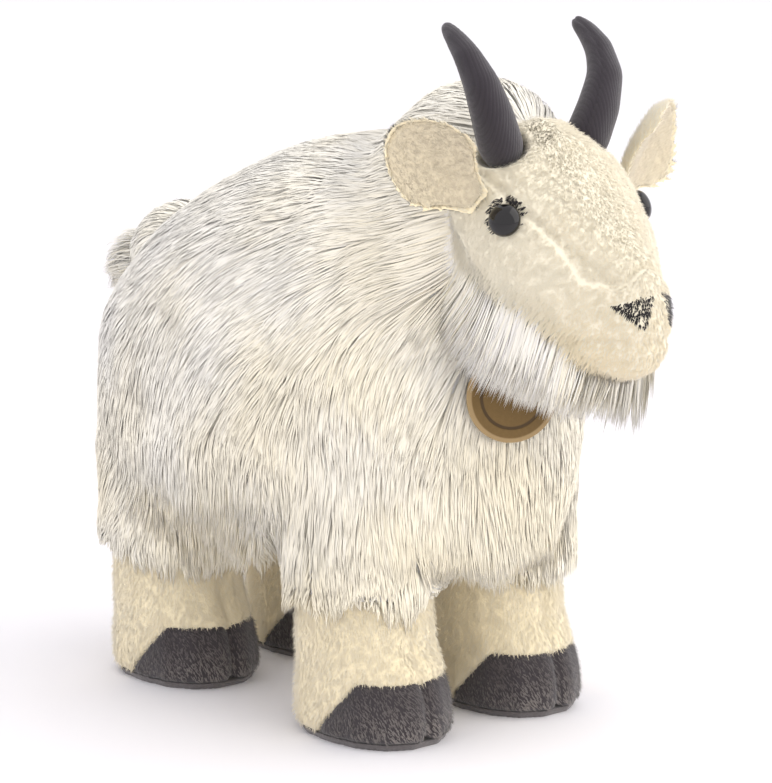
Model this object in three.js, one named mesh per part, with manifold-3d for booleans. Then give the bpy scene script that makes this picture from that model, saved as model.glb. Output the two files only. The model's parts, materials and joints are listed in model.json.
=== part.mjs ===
// A stuffed toy mountain goat, standing: a sewn cover of long pile on the body, short plush on the
// face, ears and legs, dark velour horns and hooves, all filled with fibre. Millimetres, +Z up.
// The goat faces -Y, so its right side is -X. Every cut panel and every filling is its own mesh.
import * as THREE from "three";
import { mergeVertices } from "three/addons/utils/BufferGeometryUtils.js";
import Module from "manifold-3d";

const wasm = await Module();
wasm.setup();

// ---- Driving dimensions ------------------------------------------------------------------------

const SEAM_GAP = 0.3; // clearance kept between two pieces that are sewn or lie against each other
const LONG_PILE = 10; // body cover with its standing pile
const SHORT_PLUSH = 3; // face, leg and hoof plush
const VELOUR = 1.6; // horn cover
const HINGE_GAP = 0.7; // room round a sewn root that bends

const BODY_LENGTH = 240; // chest to rump
const BODY_WIDTH = 160;
const BODY_HEIGHT = 190; // fur hem to back
const HEM_HEIGHT = 58; // floor to fur hem
const CHEST_Y = -90;
const BELLY_WIDTH = 62; // sewn-in strip of cover under the body
const BELLY_DEPTH = 22;

const NECK_RISE = 24; // top of the mane above the back
const NECK_RADIUS = 54;
const POLL_Y = -60; // where the mane meets the back of the head

const HEAD_LENGTH = 100; // poll to muzzle
const HEAD_WIDTH = 84;
const HEAD_HEIGHT = 100; // chin to crown
const CROWN_RISE = 10; // crown of the head above the back
const RUFF_PILE = 9; // how far the cheek fur stands out past the face
const BRIDGE_WIDTH_BACK = 67; // nose bridge panel at the forehead
const BRIDGE_WIDTH_NOSE = 30;
const CHIN_LENGTH = 34;
const CHIN_HEIGHT = 17;

const EYE_DIAMETER = 13;
const EYE_HEIGHT = 4.6;
const EYE_SETBACK = 48; // eye behind the muzzle tip
const EYE_LEVEL = 0.63; // share of the head's height, as for the horns and ears
const EYE_PROUD = 0.2; // rim of the dome above the plush
const EYE_RIM = 1; // straight edge under the dome
const STEM_DIAMETER = 4;
const STEM_LENGTH = 11;
const WASHER_DIAMETER = 12;
const WASHER_THICKNESS = 1.6;
const BACKING = 2.2; // plush backing and fibre nipped between the face and the washer

const HORN_RADIUS = 9.5;
const HORN_RISE = 48;
const HORN_SPREAD = 12; // how far the tip stands outside the root
const HORN_SWEEP = 21; // how far the tip lies behind the root
const HORN_SETBACK = 64; // root behind the muzzle tip
const HORN_LEVEL = 0.91;
const HORN_SINK = 2; // how far the bending root lies inside the head

const EAR_LENGTH = 47;
const EAR_WIDTH = 37;
const EAR_THICKNESS = 2.6; // each of the two layers
const EAR_CUP = 7;
const EAR_ROOT_RADIUS = 3.4;
const EAR_SETBACK = 62;
const EAR_LEVEL = 0.7;

const TAIL_LENGTH = 42;
const TAIL_WIDTH = 30;
const TAIL_THICKNESS = 20;
const TAIL_HEIGHT = 180; // root above the floor
const TAIL_SINK = 9; // root inside the rump
const TAIL_ARCH = 6; // rise of its middle
const TAIL_SLOPE = 17.5; // degrees that it falls at
const TAIL_CLEAR = 1.5; // room round its root

const STANCE = 75; // between the middles of a left and a right leg
const FRONT_LEG_Y = -29;
const HIND_LEG_Y = 98;
const LEG_WIDTH = 53;
const LEG_LENGTH = 60; // leg, front to back
const FOOT_LENGTH = 73;
const FOOT_HEIGHT = 34;
const SOLE_THICKNESS = 3;
const HOOF_HEIGHT = 27; // top of the dark toe
const HOOF_REACH = 45; // dark part of the sole, measured back from the toe
const HOOF_SLOPE = 48; // degrees that the back edge of the dark toe rises at

const TAG_DIAMETER = 38;
const TAG_THICKNESS = 1.8;
const TAG_HOLE = 5;
const TAG_HOLE_INSET = 2.2; // material between the hole and the rim
const TAG_SLACK = 1.9; // top of the hole above the hinge
const TAG_SIDE = -15; // towards the goat's right
const TAG_TURN = 26; // degrees that its face looks to the goat's right
const LOOP_WIRE = 1.3;
const LOOP_RADIUS = 4.4;
const TAG_RISE = 4; // hinge of the tag above the chin
const TAG_CLEAR = 3.5; // hinge of the tag ahead of the chest
const TAG_DROP = 60; // height of the room in the fur that it swings in
const TAG_FORE = 9; // room ahead of the hinge and behind it
const TAG_SWING = 30; // degrees that it swings forward before the beard stops it
const TAG_STEP = 5; // degrees between the places that its room is cut at
const TAG_CLEARANCE = 1; // room all round it
const TAG_MARGIN = 5; // room beside its rim

// ---- Derived sizes -----------------------------------------------------------------------------

const RUMP_Y = CHEST_Y + BODY_LENGTH;
const BACK_Z = HEM_HEIGHT + BODY_HEIGHT;
const CROWN_Z = BACK_Z + CROWN_RISE;
const CHIN_Z = CROWN_Z - HEAD_HEIGHT;
const MUZZLE_Y = POLL_Y - HEAD_LENGTH;
const FAR = 400; // longer than the goat, for cutting blocks

// ---- Tools -------------------------------------------------------------------------------------

// A closed geometry as a solid, turned the right way out.
function solid(geometry) {
  const bare = geometry.clone();
  bare.deleteAttribute("normal");
  bare.deleteAttribute("uv");
  const merged = mergeVertices(bare, 1e-4);
  const vertProperties = Float32Array.from(merged.getAttribute("position").array);
  const triVerts = Uint32Array.from(merged.index.array);
  const made = new wasm.Manifold(new wasm.Mesh({ numProp: 3, vertProperties, triVerts }));
  if (made.volume() > 0) return made;
  for (let i = 0; i < triVerts.length; i += 3) {
    [triVerts[i + 1], triVerts[i + 2]] = [triVerts[i + 2], triVerts[i + 1]];
  }
  return new wasm.Manifold(new wasm.Mesh({ numProp: 3, vertProperties, triVerts }));
}

// A solid as a geometry again.
function geometryOf(made) {
  const mesh = made.getMesh();
  const count = mesh.vertProperties.length / mesh.numProp;
  const place = new Float32Array(count * 3);
  for (let i = 0; i < count; i++) {
    const start = i * mesh.numProp;
    place.set(mesh.vertProperties.subarray(start, start + 3), i * 3);
  }
  const geometry = new THREE.BufferGeometry();
  geometry.setAttribute("position", new THREE.BufferAttribute(place, 3));
  geometry.setIndex(new THREE.BufferAttribute(Uint32Array.from(mesh.triVerts), 1));
  geometry.computeVertexNormals();
  return geometry;
}

// A ball whose rings are moved to their places: place(ring, cosine, sine) gives each vertex.
function shaped(sides, rings, place) {
  const ball = new THREE.SphereGeometry(1, sides, rings);
  const at = ball.getAttribute("position");
  for (let i = 0; i < at.count; i++) {
    const ring = Math.round((Math.acos(THREE.MathUtils.clamp(at.getY(i), -1, 1)) / Math.PI) * rings);
    const flat = Math.hypot(at.getX(i), at.getZ(i));
    const pole = ring === 0 || ring === rings;
    const cosine = pole ? 0 : at.getX(i) / flat;
    const sine = pole ? 0 : at.getZ(i) / flat;
    at.setXYZ(i, ...place(ring, cosine, sine).toArray());
  }
  return solid(ball);
}

// Rounds a square section: 2 is an ellipse, and a larger number has fuller corners.
function fuller(value, square) {
  return Math.sign(value) * Math.abs(value) ** (2 / square);
}

// Stations with every size larger by grow, as [along, low, high, half width].
function grown(stations, grow) {
  const ends = [stations[0][0], stations.at(-1)[0]];
  const middle = (ends[0] + ends[1]) / 2;
  const longer = 1 + (2 * grow) / Math.abs(ends[1] - ends[0]);
  return stations.map(([along, low, high, half]) => {
    const pole = half === 0;
    const wider = pole ? 0 : grow;
    return [middle + (along - middle) * longer, low - wider, high + wider, half + wider];
  });
}

// A closed skin through stations along Y, with its sections in X and Z.
function skin(stations, sides, square) {
  return shaped(sides, stations.length - 1, (ring, cosine, sine) => {
    const [along, low, high, half] = stations[ring];
    const x = half * fuller(cosine, square);
    const z = (low + high) / 2 + ((high - low) / 2) * fuller(sine, square);
    return new THREE.Vector3(x, along, z);
  });
}

// The point of such a skin at a place along it and a turn round it from +X towards +Z.
function pointOn(stations, square, along, turn) {
  const after = stations.findIndex((s, i) => i > 0 && s[0] <= along);
  const [before, next] = [stations[after - 1], stations[after]];
  const share = (before[0] - along) / (before[0] - next[0]);
  const [, low, high, half] = before.map((value, i) => THREE.MathUtils.lerp(value, next[i], share));
  const x = half * fuller(Math.cos(turn), square);
  const z = (low + high) / 2 + ((high - low) / 2) * fuller(Math.sin(turn), square);
  return new THREE.Vector3(x, along, z);
}

// The direction straight out of such a skin there.
function outward(stations, square, along, turn) {
  const step = 0.02;
  const across = pointOn(stations, square, along, turn + step);
  across.sub(pointOn(stations, square, along, turn - step));
  const lengthways = pointOn(stations, square, along + 1, turn);
  lengthways.sub(pointOn(stations, square, along - 1, turn));
  return across.cross(lengthways).normalize().negate();
}

// A closed tube along a curve. profile lists [share of the length, radius], and section turns a
// direction round the tube and the radius into a place across it. side is the direction that the
// section's first axis keeps to.
function sweep(curve, profile, sides, side, section) {
  return shaped(sides, profile.length - 1, (ring, cosine, sine) => {
    const [share, radius] = profile[ring];
    const tangent = curve.getTangentAt(share);
    const first = side.clone().addScaledVector(tangent, -side.dot(tangent)).normalize();
    const second = tangent.clone().cross(first);
    const [a, b] = section(cosine, sine, radius);
    return curve.getPointAt(share).addScaledVector(first, a).addScaledVector(second, b);
  });
}

function moved(geometry, x, y, z) {
  return geometry.translate(x, y, z);
}

function block(x0, x1, y0, y1, z0, z1) {
  const box = new THREE.BoxGeometry(x1 - x0, y1 - y0, z1 - z0);
  return solid(moved(box, (x0 + x1) / 2, (y0 + y1) / 2, (z0 + z1) / 2));
}

// A ball whose flat faces stand on or outside the radius.
function ball(centre, radius) {
  const corner = radius / Math.cos(Math.PI / 12) ** 2;
  return solid(moved(new THREE.SphereGeometry(corner, 12, 12), ...centre.toArray()));
}

// A shape turned round Z is stood with its axis along direction, from a point.
function turned(profile, sides, point, direction) {
  const outline = profile.map(([radius, height]) => new THREE.Vector2(radius, height));
  const geometry = new THREE.LatheGeometry(outline, sides);
  const turn = new THREE.Quaternion().setFromUnitVectors(new THREE.Vector3(0, 1, 0), direction);
  geometry.applyQuaternion(turn);
  return solid(moved(geometry, ...point.toArray()));
}

// The half space ahead of a plane that is tipped about X.
function aheadOf(y, z, normalY, normalZ) {
  const box = new THREE.BoxGeometry(FAR, FAR, FAR);
  box.translate(0, FAR / 2, 0);
  box.rotateX(Math.atan2(normalZ, normalY));
  return solid(moved(box, 0, y, z));
}

// ---- Scene -------------------------------------------------------------------------------------

const goat = new THREE.Group();
goat.name = "plush_goat";

const finishes = {
  longPile: { color: 0xf1ece2, roughness: 0.95, metalness: 0 },
  shortPlush: { color: 0xf4e6c9, roughness: 0.95, metalness: 0 },
  earPlush: { color: 0xf3e3cf, roughness: 0.95, metalness: 0 },
  hornVelour: { color: 0x4a474c, roughness: 0.9, metalness: 0 },
  hoofPlush: { color: 0x565459, roughness: 0.95, metalness: 0 },
  solePlush: { color: 0x6b686c, roughness: 0.95, metalness: 0 },
  fibrefill: { color: 0xf7f7f5, roughness: 1, metalness: 0 },
  eyeGloss: { color: 0x17100c, roughness: 0.06, metalness: 0 },
  washerPlastic: { color: 0xd9d9d6, roughness: 0.5, metalness: 0 },
  tagLeather: { color: 0x85704a, roughness: 0.55, metalness: 0 },
  loopCord: { color: 0xd8cfbd, roughness: 0.9, metalness: 0 },
};

function add(name, made, finish) {
  const material = new THREE.MeshStandardMaterial(finishes[finish]);
  const mesh = new THREE.Mesh(geometryOf(made), material);
  mesh.name = name;
  goat.add(mesh);
}

const SIDES = [
  { name: "right", sign: -1 },
  { name: "left", sign: 1 },
];

// The half of everything on one side of the middle, less half a seam.
function halfSpace(sign, middle = 0) {
  const near = middle + (sign * SEAM_GAP) / 2;
  const far = middle + sign * FAR;
  return block(Math.min(near, far), Math.max(near, far), -FAR, FAR, -FAR, FAR);
}

// ---- Body --------------------------------------------------------------------------------------

const BODY_SQUARE = 2.7;

// Rump to chest: [share of the length, low, high, half width], the last three as shares.
const BODY_PROFILE = [
  [0, 0.3, 0.3, 0],
  [0.02, 0.1, 0.53, 0.48],
  [0.06, 0.03, 0.66, 0.7],
  [0.13, 0, 0.74, 0.85],
  [0.24, 0, 0.82, 0.95],
  [0.38, 0, 0.91, 1],
  [0.54, 0, 0.98, 1],
  [0.7, 0, 1, 0.97],
  [0.82, 0.01, 0.95, 0.87],
  [0.91, 0.04, 0.82, 0.7],
  [0.97, 0.12, 0.64, 0.46],
  [1, 0.38, 0.38, 0],
];

const torsoStations = BODY_PROFILE.map(([share, low, high, half]) => [
  RUMP_Y - share * BODY_LENGTH,
  HEM_HEIGHT + low * BODY_HEIGHT,
  HEM_HEIGHT + high * BODY_HEIGHT,
  (half * BODY_WIDTH) / 2,
]);

const neckCurve = new THREE.CatmullRomCurve3([
  new THREE.Vector3(0, CHEST_Y + 0.36 * BODY_LENGTH, HEM_HEIGHT + 0.5 * BODY_HEIGHT),
  new THREE.Vector3(0, POLL_Y + 12, HEM_HEIGHT + 0.8 * BODY_HEIGHT),
  new THREE.Vector3(0, POLL_Y - 10, BACK_Z + NECK_RISE),
]);

function neck(grow) {
  const radius = NECK_RADIUS + grow;
  const top = 1 + grow / neckCurve.getLength();
  const profile = [
    [0, 0],
    [0, radius],
    [0.35, radius],
    [0.62, 0.84 * radius],
    [0.8, 0.66 * radius],
    [0.92, 0.44 * radius],
    [0.98, 0.24 * radius],
    [1, 0],
  ];
  const reach = profile.map(([share, r]) => [Math.min(share * top, 1), r]);
  const across = new THREE.Vector3(1, 0, 0);
  return sweep(neckCurve, reach, 18, across, (c, s, r) => [1.12 * c * r, s * r]);
}

function body(grow) {
  return skin(grown(torsoStations, grow), 22, BODY_SQUARE).add(neck(grow));
}

const bodyOuter = body(0);
const bodyInside = body(-LONG_PILE);
const bodyClear = body(SEAM_GAP);
const bodyFilling = body(-LONG_PILE - SEAM_GAP);

// ---- Legs --------------------------------------------------------------------------------------

const LEG_SQUARE = 2.3;
const LEG_TOP = HEM_HEIGHT + 0.28 * BODY_HEIGHT;

// Top to sole: [height, how far the back is from the leg's middle, and the front, half width].
function legStations() {
  const back = -LEG_LENGTH / 2;
  const front = LEG_LENGTH / 2;
  const heel = back - 1;
  const toe = heel + FOOT_LENGTH;
  const half = LEG_WIDTH / 2;
  return [
    [LEG_TOP, 0, 0, 0],
    [LEG_TOP - 1, back, front, half * 0.96],
    [FOOT_HEIGHT + 22, back, front, half * 0.96],
    [FOOT_HEIGHT + 6, back, front + 0.1 * (toe - front), half],
    [FOOT_HEIGHT - 6, back, front + 0.62 * (toe - front), half],
    [FOOT_HEIGHT * 0.5, heel, toe - 1, half * 1.04],
    [FOOT_HEIGHT * 0.2, heel, toe, half * 1.04],
    [SOLE_THICKNESS, heel + 1.5, toe - 1.5, half],
    [0, heel + 4, toe - 4, half * 0.9],
    [0, (heel + toe) / 2, (heel + toe) / 2, 0],
  ];
}

// A leg stood at x, y, with its sizes larger by grow but its sole kept at the floor.
function leg(x, y, grow, floor) {
  const stations = grown(legStations(), grow);
  const feet = stations.map(([along, low, high, half]) => [Math.max(along, floor), low, high, half]);
  return shaped(14, feet.length - 1, (ring, cosine, sine) => {
    const [along, low, high, half] = feet[ring];
    const ahead = (low + high) / 2 + ((high - low) / 2) * fuller(sine, LEG_SQUARE);
    return new THREE.Vector3(x + half * fuller(cosine, LEG_SQUARE), y - ahead, along);
  });
}

const LEGS = [
  { name: "front", y: FRONT_LEG_Y },
  { name: "hind", y: HIND_LEG_Y },
];

const legOpenings = [];

function makeLeg(end, side) {
  const x = (side.sign * STANCE) / 2;
  const name = end.name + "_" + side.name;
  const outer = leg(x, end.y, 0, 0);
  const inside = leg(x, end.y, -SHORT_PLUSH, SOLE_THICKNESS);
  const filling = leg(x, end.y, -SHORT_PLUSH - SEAM_GAP, SOLE_THICKNESS + SEAM_GAP);
  const shell = outer.subtract(inside).subtract(bodyClear);
  const toeY = end.y - (FOOT_LENGTH - LEG_LENGTH / 2 - 1);
  const sole = outer.intersect(block(-FAR, FAR, -FAR, FAR, -1, SOLE_THICKNESS - SEAM_GAP));
  const above = block(-FAR, FAR, -FAR, FAR, SOLE_THICKNESS, FAR);
  const slope = (HOOF_SLOPE * Math.PI) / 180;
  const [steepY, steepZ] = [Math.sin(slope), Math.cos(slope)];
  const over = block(-FAR, FAR, -FAR, FAR, HOOF_HEIGHT + SEAM_GAP, FAR);
  const behind = aheadOf(toeY + HOOF_REACH + SEAM_GAP * 1.5, 0, steepY, steepZ).add(over);
  const ahead = aheadOf(toeY + HOOF_REACH, 0, -steepY, -steepZ).subtract(
    block(-FAR, FAR, -FAR, FAR, HOOF_HEIGHT, FAR),
  );
  const upper = shell.intersect(above);
  SIDES.forEach((half) => {
    const part = half.sign === side.sign ? "outer" : "inner";
    const keep = halfSpace(half.sign, x);
    add("leg_" + name + "_" + part, upper.intersect(behind).intersect(keep), "shortPlush");
    add("hoof_" + name + "_" + part, upper.intersect(ahead).intersect(keep), "hoofPlush");
  });
  add("sole_" + name, sole, "solePlush");
  add("leg_filling_" + name, filling.subtract(bodyInside), "fibrefill");
  legOpenings.push(inside);
}

LEGS.forEach((end) => SIDES.forEach((side) => makeLeg(end, side)));

// ---- Head --------------------------------------------------------------------------------------

const HEAD_SQUARE = 2.2;

// Poll to muzzle: [share of the length, low, high, half width], the last three as shares.
const HEAD_PROFILE = [
  [0, 0.62, 0.62, 0],
  [0.05, 0.32, 0.92, 0.66],
  [0.18, 0.16, 0.99, 0.91],
  [0.35, 0.08, 0.99, 0.98],
  [0.48, 0.04, 0.92, 0.98],
  [0.6, 0.02, 0.8, 0.89],
  [0.74, 0, 0.65, 0.7],
  [0.86, 0.01, 0.53, 0.51],
  [0.95, 0.05, 0.44, 0.36],
  [0.985, 0.12, 0.36, 0.23],
  [1, 0.24, 0.24, 0],
];

const headStations = HEAD_PROFILE.map(([share, low, high, half]) => [
  POLL_Y - share * HEAD_LENGTH,
  CHIN_Z + low * HEAD_HEIGHT,
  CHIN_Z + high * HEAD_HEIGHT,
  (half * HEAD_WIDTH) / 2,
]);

function head(grow) {
  return skin(grown(headStations, grow), 20, HEAD_SQUARE);
}

const headInside = head(-SHORT_PLUSH);

// The seam between the short face plush and the long cheek fur runs from the ear to the chin.
const RUFF_BACK = { y: POLL_Y - 0.24 * HEAD_LENGTH, z: CHIN_Z + 0.58 * HEAD_HEIGHT };
const RUFF_FRONT = { y: POLL_Y - 0.76 * HEAD_LENGTH, z: CHIN_Z + 0.06 * HEAD_HEIGHT };
const ruffFall = RUFF_FRONT.z - RUFF_BACK.z;
const ruffRun = RUFF_FRONT.y - RUFF_BACK.y;
const faceSide = aheadOf(RUFF_BACK.y, RUFF_BACK.z, ruffFall, -ruffRun);
const ruffSide = aheadOf(RUFF_BACK.y + SEAM_GAP, RUFF_BACK.z - SEAM_GAP, -ruffFall, ruffRun);

// Turn round the head's side at which a point has this height.
function turnAtHeight(along, height) {
  let [low, high] = [-Math.PI / 2, Math.PI / 2];
  for (let i = 0; i < 40; i++) {
    const middle = (low + high) / 2;
    const found = pointOn(headStations, HEAD_SQUARE, along, middle).z;
    if (found < height) low = middle;
    else high = middle;
  }
  return (low + high) / 2;
}

// A point and its outward direction on the head, on one side.
function onHead(sign, along, height) {
  const turn = turnAtHeight(along, height);
  const point = pointOn(headStations, HEAD_SQUARE, along, turn);
  const out = outward(headStations, HEAD_SQUARE, along, turn);
  point.x *= sign;
  out.x *= sign;
  return { point, out };
}

// ---- Horns -------------------------------------------------------------------------------------

const headCuts = [];
const hornRooms = [];

// The horn's share of its full radius along the curve from its root to its tip.
const HORN_TAPER = [
  [0, 1],
  [0.25, 0.93],
  [0.48, 0.79],
  [0.68, 0.63],
  [0.84, 0.49],
  [0.95, 0.36],
  [0.99, 0.22],
];

// A horn round its bending point, with a ball-shaped root. face picks a half, or 0 the whole.
function horn(curve, radius, side, face) {
  const length = curve.getLength();
  const rootShare = HORN_RADIUS / length;
  const ballRings = [-1, -0.87, -0.5].map((drop) => [
    rootShare + (drop * radius) / length,
    radius * Math.sqrt(1 - drop * drop),
  ]);
  const shaft = HORN_TAPER.map(([share, r]) => [rootShare + share * (1 - rootShare), r * radius]);
  const tip = Math.min(1, 1 - (HORN_RADIUS - radius) / length);
  const within = (share) => THREE.MathUtils.clamp(share, 0, tip);
  const profile = [...ballRings, ...shaft, [1, 0]].map(([share, r]) => [within(share), r]);
  return sweep(curve, profile, 14, side, (c, s, r) => {
    if (face === 0) return [c * r, s * r];
    return [face * (Math.max(0, face * c) * r + SEAM_GAP / 2), s * r];
  });
}

function makeHorn({ name, sign }) {
  const along = MUZZLE_Y + HORN_SETBACK;
  const { point, out } = onHead(sign, along, CHIN_Z + HORN_LEVEL * HEAD_HEIGHT);
  const root = point.clone().addScaledVector(out, -HORN_SINK);
  const spread = sign * HORN_SPREAD;
  const step = (x, y, z) => root.clone().add(new THREE.Vector3(x, y, z));
  const start = new THREE.Vector3(0.5 * spread, -1, 0.28 * HORN_RISE).normalize();
  const curve = new THREE.CatmullRomCurve3([
    root.clone().addScaledVector(start, -HORN_RADIUS),
    root,
    step(0.5 * spread, -1, 0.28 * HORN_RISE),
    step(0.95 * spread, 1, 0.58 * HORN_RISE),
    step(1.08 * spread, 0.42 * HORN_SWEEP, 0.81 * HORN_RISE),
    step(spread, HORN_SWEEP, HORN_RISE),
  ]);
  const side = new THREE.Vector3(0.6 * sign, -0.8, 0);
  const hollow = horn(curve, HORN_RADIUS - VELOUR, side, 0);
  [-1, 1].forEach((face) => {
    const part = face > 0 ? "front" : "back";
    const half = horn(curve, HORN_RADIUS, side, face);
    add("horn_" + name + "_" + part, half.subtract(hollow), "hornVelour");
  });
  const filling = horn(curve, HORN_RADIUS - VELOUR - SEAM_GAP, side, 0);
  add("horn_filling_" + name, filling, "fibrefill");
  const room = horn(curve, HORN_RADIUS + HINGE_GAP, side, 0);
  headCuts.push(ball(root, HORN_RADIUS + HINGE_GAP), room);
  hornRooms.push(room);
}

SIDES.forEach(makeHorn);

// ---- Eyes --------------------------------------------------------------------------------------

function eyeProfile(grow) {
  const radius = EYE_DIAMETER / 2 + grow;
  const stem = STEM_DIAMETER / 2 + grow;
  const dome = [];
  const steps = 4;
  for (let i = 0; i <= steps; i++) {
    const turn = (i / steps) * (Math.PI / 2);
    dome.push([radius * Math.cos(turn), (EYE_HEIGHT + grow) * Math.sin(turn)]);
  }
  const end = -STEM_LENGTH - grow;
  const under = -EYE_RIM - grow;
  return [[0, end], [stem, end], [stem, under], [radius, under], ...dome];
}

function makeEye({ name, sign }) {
  const along = MUZZLE_Y + EYE_SETBACK;
  const { point, out } = onHead(sign, along, CHIN_Z + EYE_LEVEL * HEAD_HEIGHT);
  const seat = point.clone().addScaledVector(out, EYE_PROUD);
  add("eye_" + name, turned(eyeProfile(0), 14, seat, out), "eyeGloss");
  const bore = STEM_DIAMETER / 2 + SEAM_GAP;
  const ring = (outside, thick, low) => [
    [bore, low],
    [outside, low],
    [outside, low + thick],
    [bore, low + thick],
    [bore, low],
  ];
  const low = -SHORT_PLUSH - BACKING - WASHER_THICKNESS;
  const washer = turned(ring(WASHER_DIAMETER / 2, WASHER_THICKNESS, low), 12, seat, out);
  add("eye_washer_" + name, washer, "washerPlastic");
  headCuts.push(turned(eyeProfile(SEAM_GAP), 14, seat, out));
  const room = WASHER_DIAMETER / 2 + SEAM_GAP;
  const pocket = [
    [0, low - SEAM_GAP],
    [room, low - SEAM_GAP],
    [room, low + WASHER_THICKNESS + SEAM_GAP],
    [0, low + WASHER_THICKNESS + SEAM_GAP],
  ];
  headCuts.push(turned(pocket, 12, seat, out));
}

SIDES.forEach(makeEye);

// ---- Ears --------------------------------------------------------------------------------------

// Root to tip: [share of the length, share of the half width].
const EAR_PROFILE = [
  [0, 0],
  [0, 0.3],
  [0.12, 0.52],
  [0.3, 0.86],
  [0.48, 1],
  [0.66, 0.93],
  [0.82, 0.7],
  [0.94, 0.38],
  [1, 0],
];

// One layer of an ear; layer is 1 for the open side and -1 for the back.
function earLayer(root, lengthways, facing, layer) {
  const across = lengthways.clone().cross(facing);
  return shaped(12, EAR_PROFILE.length - 1, (ring, cosine, sine) => {
    const [share, wide] = EAR_PROFILE[ring];
    const half = (wide * EAR_WIDTH) / 2;
    const x = half * fuller(cosine, 2.4);
    const thick = wide > 0 ? Math.max(0, sine) * EAR_THICKNESS : 0;
    const cup = EAR_CUP * (Math.abs(x) / (EAR_WIDTH / 2)) ** 2;
    const point = root.clone().addScaledVector(lengthways, share * EAR_LENGTH);
    point.addScaledVector(across, x);
    return point.addScaledVector(facing, layer * (SEAM_GAP / 2 + thick) + cup);
  });
}

function makeEar({ name, sign }) {
  const { point, out } = onHead(sign, MUZZLE_Y + EAR_SETBACK, CHIN_Z + EAR_LEVEL * HEAD_HEIGHT);
  const root = point.clone().addScaledVector(out, EAR_ROOT_RADIUS + HINGE_GAP);
  const lengthways = new THREE.Vector3(0.765 * sign, 0.18, 0.61).normalize();
  const facing = new THREE.Vector3(0.37 * sign, -0.913, -0.17);
  facing.addScaledVector(lengthways, -facing.dot(lengthways)).normalize();
  add("ear_" + name + "_front", earLayer(root, lengthways, facing, 1), "earPlush");
  add("ear_" + name + "_back", earLayer(root, lengthways, facing, -1), "shortPlush");
}

SIDES.forEach(makeEar);

// ---- Tag ---------------------------------------------------------------------------------------

const TAG_MIDDLE = TAG_SLACK + TAG_HOLE_INSET - TAG_DIAMETER / 2; // its middle, seen from the hinge
const tagHinge = new THREE.Vector3(TAG_SIDE, CHEST_Y - TAG_CLEAR, CHIN_Z + TAG_RISE);

// A shape drawn hanging from the hinge is swung forward by some degrees and turned to the tag's side.
function hung(geometry, swing) {
  geometry.rotateX(Math.PI / 2 - (swing * Math.PI) / 180);
  geometry.rotateZ((-TAG_TURN * Math.PI) / 180);
  return solid(geometry.translate(...tagHinge.toArray()));
}

function makeTag() {
  const outline = new THREE.Shape();
  outline.absarc(0, TAG_MIDDLE, TAG_DIAMETER / 2, 0, 2 * Math.PI, false);
  const hole = new THREE.Path();
  hole.absarc(0, TAG_SLACK - TAG_HOLE / 2, TAG_HOLE / 2, 0, 2 * Math.PI, true);
  outline.holes.push(hole);
  const options = { depth: TAG_THICKNESS, bevelEnabled: false, curveSegments: 14 };
  const disc = new THREE.ExtrudeGeometry(outline, options);
  disc.translate(0, 0, -TAG_THICKNESS / 2);
  add("tag_disc", hung(disc, 0), "tagLeather");
  const loop = new THREE.TorusGeometry(LOOP_RADIUS, LOOP_WIRE / 2, 6, 14);
  loop.rotateY(Math.PI / 2);
  loop.rotateZ((-TAG_TURN * Math.PI) / 180);
  loop.translate(tagHinge.x, tagHinge.y, tagHinge.z + LOOP_RADIUS);
  add("tag_loop", solid(loop), "loopCord");
}

makeTag();

// Room for the tag to swing out under the jaw, and for its loop.
function roomForTag() {
  const half = TAG_DIAMETER / 2 + TAG_MARGIN;
  const { x, y, z } = tagHinge;
  const loop = LOOP_RADIUS + 2 * LOOP_WIRE;
  let room = block(x - half, x + half, y - TAG_FORE, y + TAG_FORE, z - TAG_DROP, z + TAG_RISE);
  room = room.add(block(x - LOOP_RADIUS, x + LOOP_RADIUS, y - loop, y + loop, z, z + 2 * loop));
  const thick = TAG_THICKNESS + 2 * TAG_CLEARANCE;
  for (let swing = 0; swing <= TAG_SWING + TAG_STEP; swing += TAG_STEP) {
    const radius = TAG_DIAMETER / 2 + TAG_CLEARANCE;
    const plate = new THREE.CylinderGeometry(radius, radius, thick, 28);
    plate.rotateX(Math.PI / 2).translate(0, TAG_MIDDLE, 0);
    room = room.add(hung(plate, swing));
  }
  return room;
}

const tagRoom = roomForTag();

// ---- Head panels -------------------------------------------------------------------------------

function cutAway(made, cuts) {
  return cuts.reduce((left, cut) => left.subtract(cut), made);
}

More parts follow.
